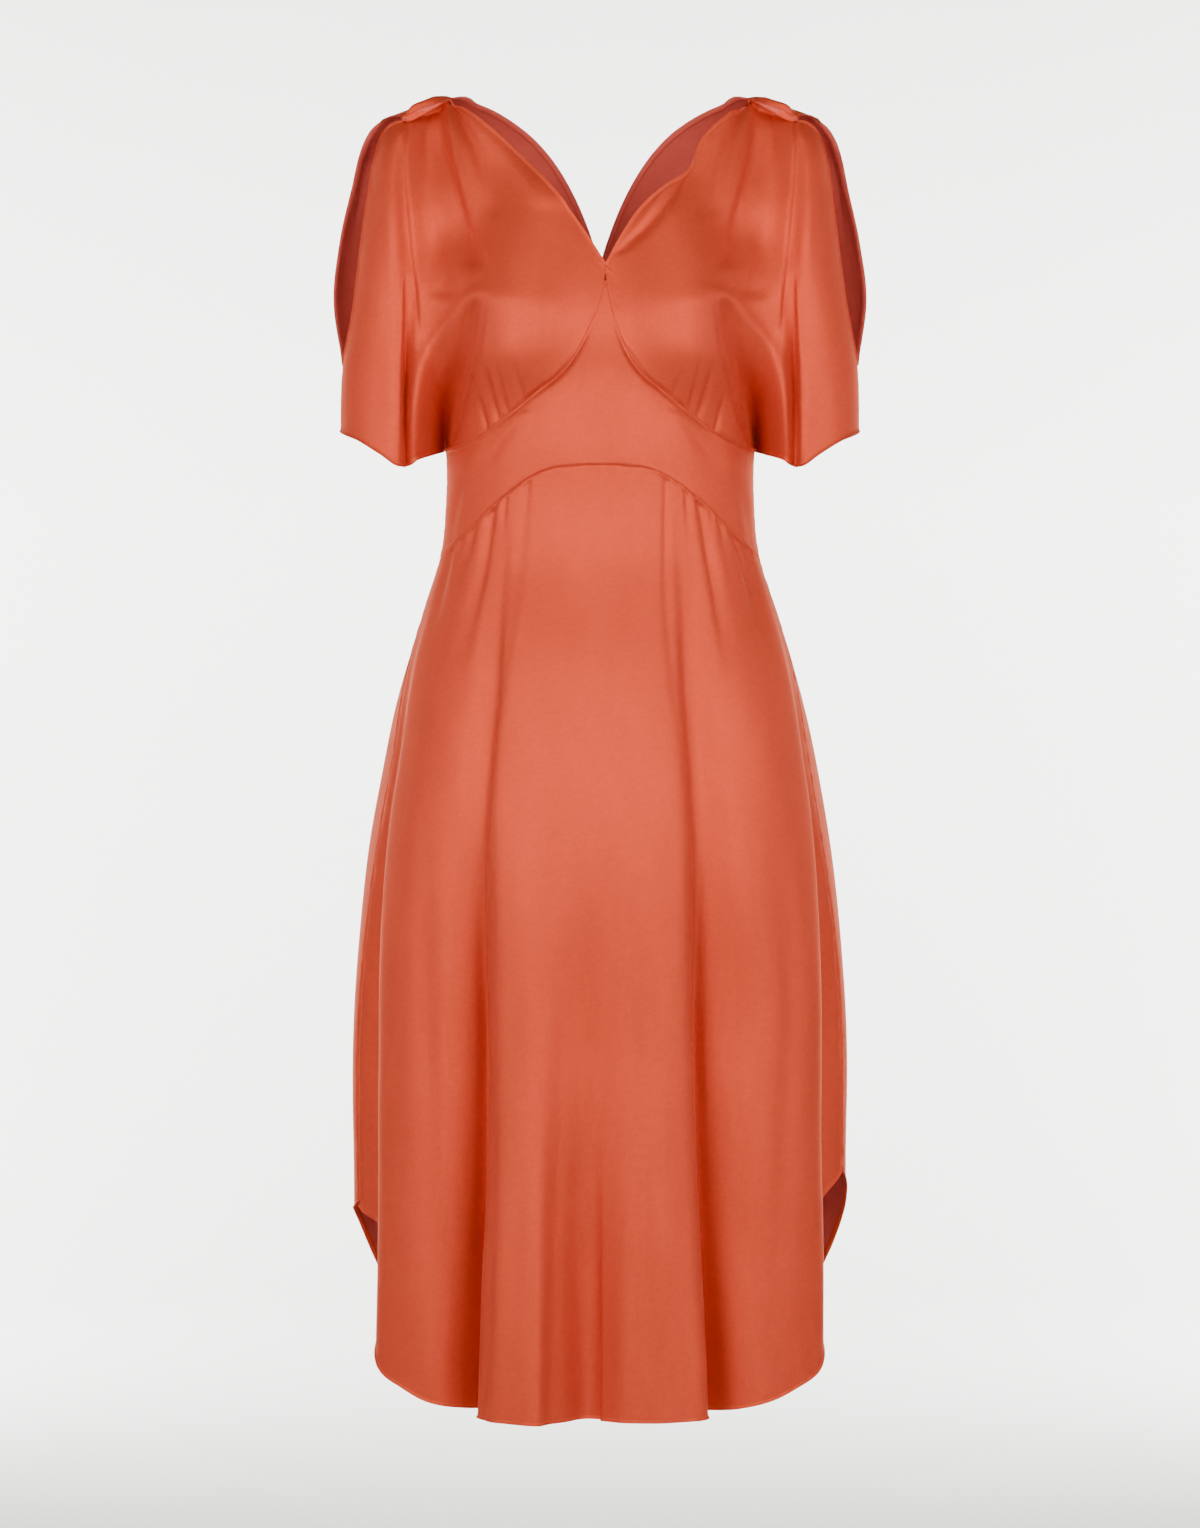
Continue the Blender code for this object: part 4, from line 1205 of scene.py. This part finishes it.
class DRESS_OT_stage(bpy.types.Operator):
    """Pale round studio, soft lamps, and the camera"""

    bl_idname = "dress.stage"
    bl_label = "Stage"

    def execute(self, context):
        stage = context.scene.dress_stage
        self.studio(stage)
        self.lamps(stage)
        data = bpy.data.cameras.new("camera")
        data.sensor_width = 36
        data.lens = data.sensor_width * stage.camera_away / stage.view_tall
        camera = bpy.data.objects.new("camera", data)
        camera.location = (0, -stage.camera_away, stage.camera_height)
        camera.rotation_euler = (pi / 2, 0, 0)
        context.scene.collection.objects.link(camera)
        context.scene.camera = camera
        return {"FINISHED"}

    def studio(self, stage):
        """A round floor that curves up into a wall all round, well away from the dress."""
        away, bend, high = 6.5, 1.6, 3.6
        arc = np.linspace(0, pi / 2, 17)
        reach = np.concatenate([[0.0005, 2.5], away - bend + bend * np.sin(arc), [away]])
        rise = np.concatenate([[0, 0], bend - bend * np.cos(arc), [high + bend]])
        turn = np.linspace(0, 2 * pi, 97)
        x, y = reach[:, None] * np.sin(turn), reach[:, None] * np.cos(turn)
        z = np.broadcast_to(rise[:, None] + stage.floor_height, x.shape)
        mesh = grid_mesh("studio", np.stack([x, y, z], axis=-1), True)
        material = bpy.data.materials.new("matt white studio paint")
        material.use_nodes = True
        tree = material.node_tree
        shader = tree.nodes["Principled BSDF"]
        place = add_node(tree, "ShaderNodeTexCoord").outputs["Object"]
        mottle = add_node(tree, "ShaderNodeTexNoise", {"Scale": 3.0, "Detail": 4.0}, [("Vector", place)])
        even = add_node(
            tree, "ShaderNodeMapRange", {"To Min": 0.99, "To Max": 1.01}, [("Value", mottle.outputs["Fac"])]
        )
        colour = bpy.context.scene.dress_colour.studio
        shade = add_node(
            tree, "ShaderNodeVectorMath", {"operation": "SCALE", 0: colour}, [("Scale", even.outputs["Result"])]
        )
        tree.links.new(shade.outputs["Vector"], shader.inputs["Base Color"])
        shader.inputs["Roughness"].default_value = 0.9
        mesh.materials.append(material)
        studio = bpy.data.objects.new("studio", mesh)
        bpy.context.scene.collection.objects.link(studio)

    def lamps(self, stage):
        """Soft lamps before and behind the dress, and two that light the wall behind it."""
        # name, width, height, watts, colour, place, place looked at
        warm, white = (1.0, 0.92, 0.60), (1.0, 1.0, 1.0)
        boxes = [
            ("left softbox", 0.9, 1.9, 42, warm, (1.2, -2.1, -0.08), (0, 0, -0.5)),
            ("right softbox", 0.9, 1.9, 42, warm, (-1.2, -2.1, -0.08), (0, 0, -0.5)),
            ("top softbox", 1.6, 0.8, 16, warm, (0.0, -1.5, 1.6), (0, 0, -0.2)),
            ("left fill", 1.4, 1.4, 1, white, (3.2, -2.4, -0.4), (0, 0, -0.5)),
            ("right fill", 1.4, 1.4, 1, white, (-3.2, -2.4, -0.4), (0, 0, -0.5)),
            ("rear softbox", 1.4, 1.4, 6, warm, (0.0, 2.6, 0.35), (0, 0, -0.5)),
            ("left wall lamp", 1.4, 1.4, 720, white, (2.9, 3.4, -0.2), (0.4, 6.5, -0.6)),
            ("right wall lamp", 1.4, 1.4, 720, white, (-2.9, 3.4, -0.2), (-0.4, 6.5, -0.6)),
        ]
        for name, wide, tall, watts, tint, place, target in boxes:
            data = bpy.data.lights.new(name, "AREA")
            data.shape = "RECTANGLE"
            data.size = wide
            data.size_y = tall
            data.energy = watts * stage.light
            data.color = tint
            lamp = bpy.data.objects.new(name, data)
            lamp.location = place
            away = np.array(place) - np.array(target)
            lamp.rotation_euler = (np.arctan2(np.hypot(*away[:2]), away[2]), 0, np.arctan2(away[0], -away[1]))
            lamp.visible_camera = False
            bpy.context.scene.collection.objects.link(lamp)
        world = bpy.data.worlds.new("pale room")
        world.use_nodes = True
        background = world.node_tree.nodes["Background"]
        background.inputs["Color"].default_value = (1, 1, 1, 1)
        background.inputs["Strength"].default_value = 0.15 * stage.light
        bpy.context.scene.world = world


class DRESS_PT_panel(bpy.types.Panel):
    """The dress's settings and pieces"""

    bl_idname = "DRESS_PT_panel"
    bl_label = "Midi dress"
    bl_space_type = "VIEW_3D"
    bl_region_type = "UI"
    bl_category = "Dress"

    def draw(self, context):
        for group in SETTINGS:
            settings = getattr(context.scene, group)
            for name in settings.bl_rna.properties.keys():
                if name not in ("rna_type", "name"):
                    self.layout.prop(settings, name)
        for operator in OPERATORS:
            self.layout.operator(operator.bl_idname)


SETTINGS = {
    "dress_cloth": ClothSettings,
    "dress_colour": ColourSettings,
    "dress_stage": StageSettings,
}
OPERATORS = [DRESS_OT_bodice, DRESS_OT_midriff, DRESS_OT_skirt, DRESS_OT_stage]


def register():
    for settings in SETTINGS.values():
        bpy.utils.register_class(settings)
    for name, settings in SETTINGS.items():
        setattr(bpy.types.Scene, name, bpy.props.PointerProperty(type=settings))
    for operator in OPERATORS:
        bpy.utils.register_class(operator)
    bpy.utils.register_class(DRESS_PT_panel)


def unregister():
    bpy.utils.unregister_class(DRESS_PT_panel)
    for operator in reversed(OPERATORS):
        bpy.utils.unregister_class(operator)
    for name, settings in SETTINGS.items():
        delattr(bpy.types.Scene, name)
        bpy.utils.unregister_class(settings)


def main():
    register()
    bpy.ops.dress.bodice()
    bpy.ops.dress.midriff()
    bpy.ops.dress.skirt()
    bpy.ops.dress.stage()


if __name__ == "__main__":
    main()
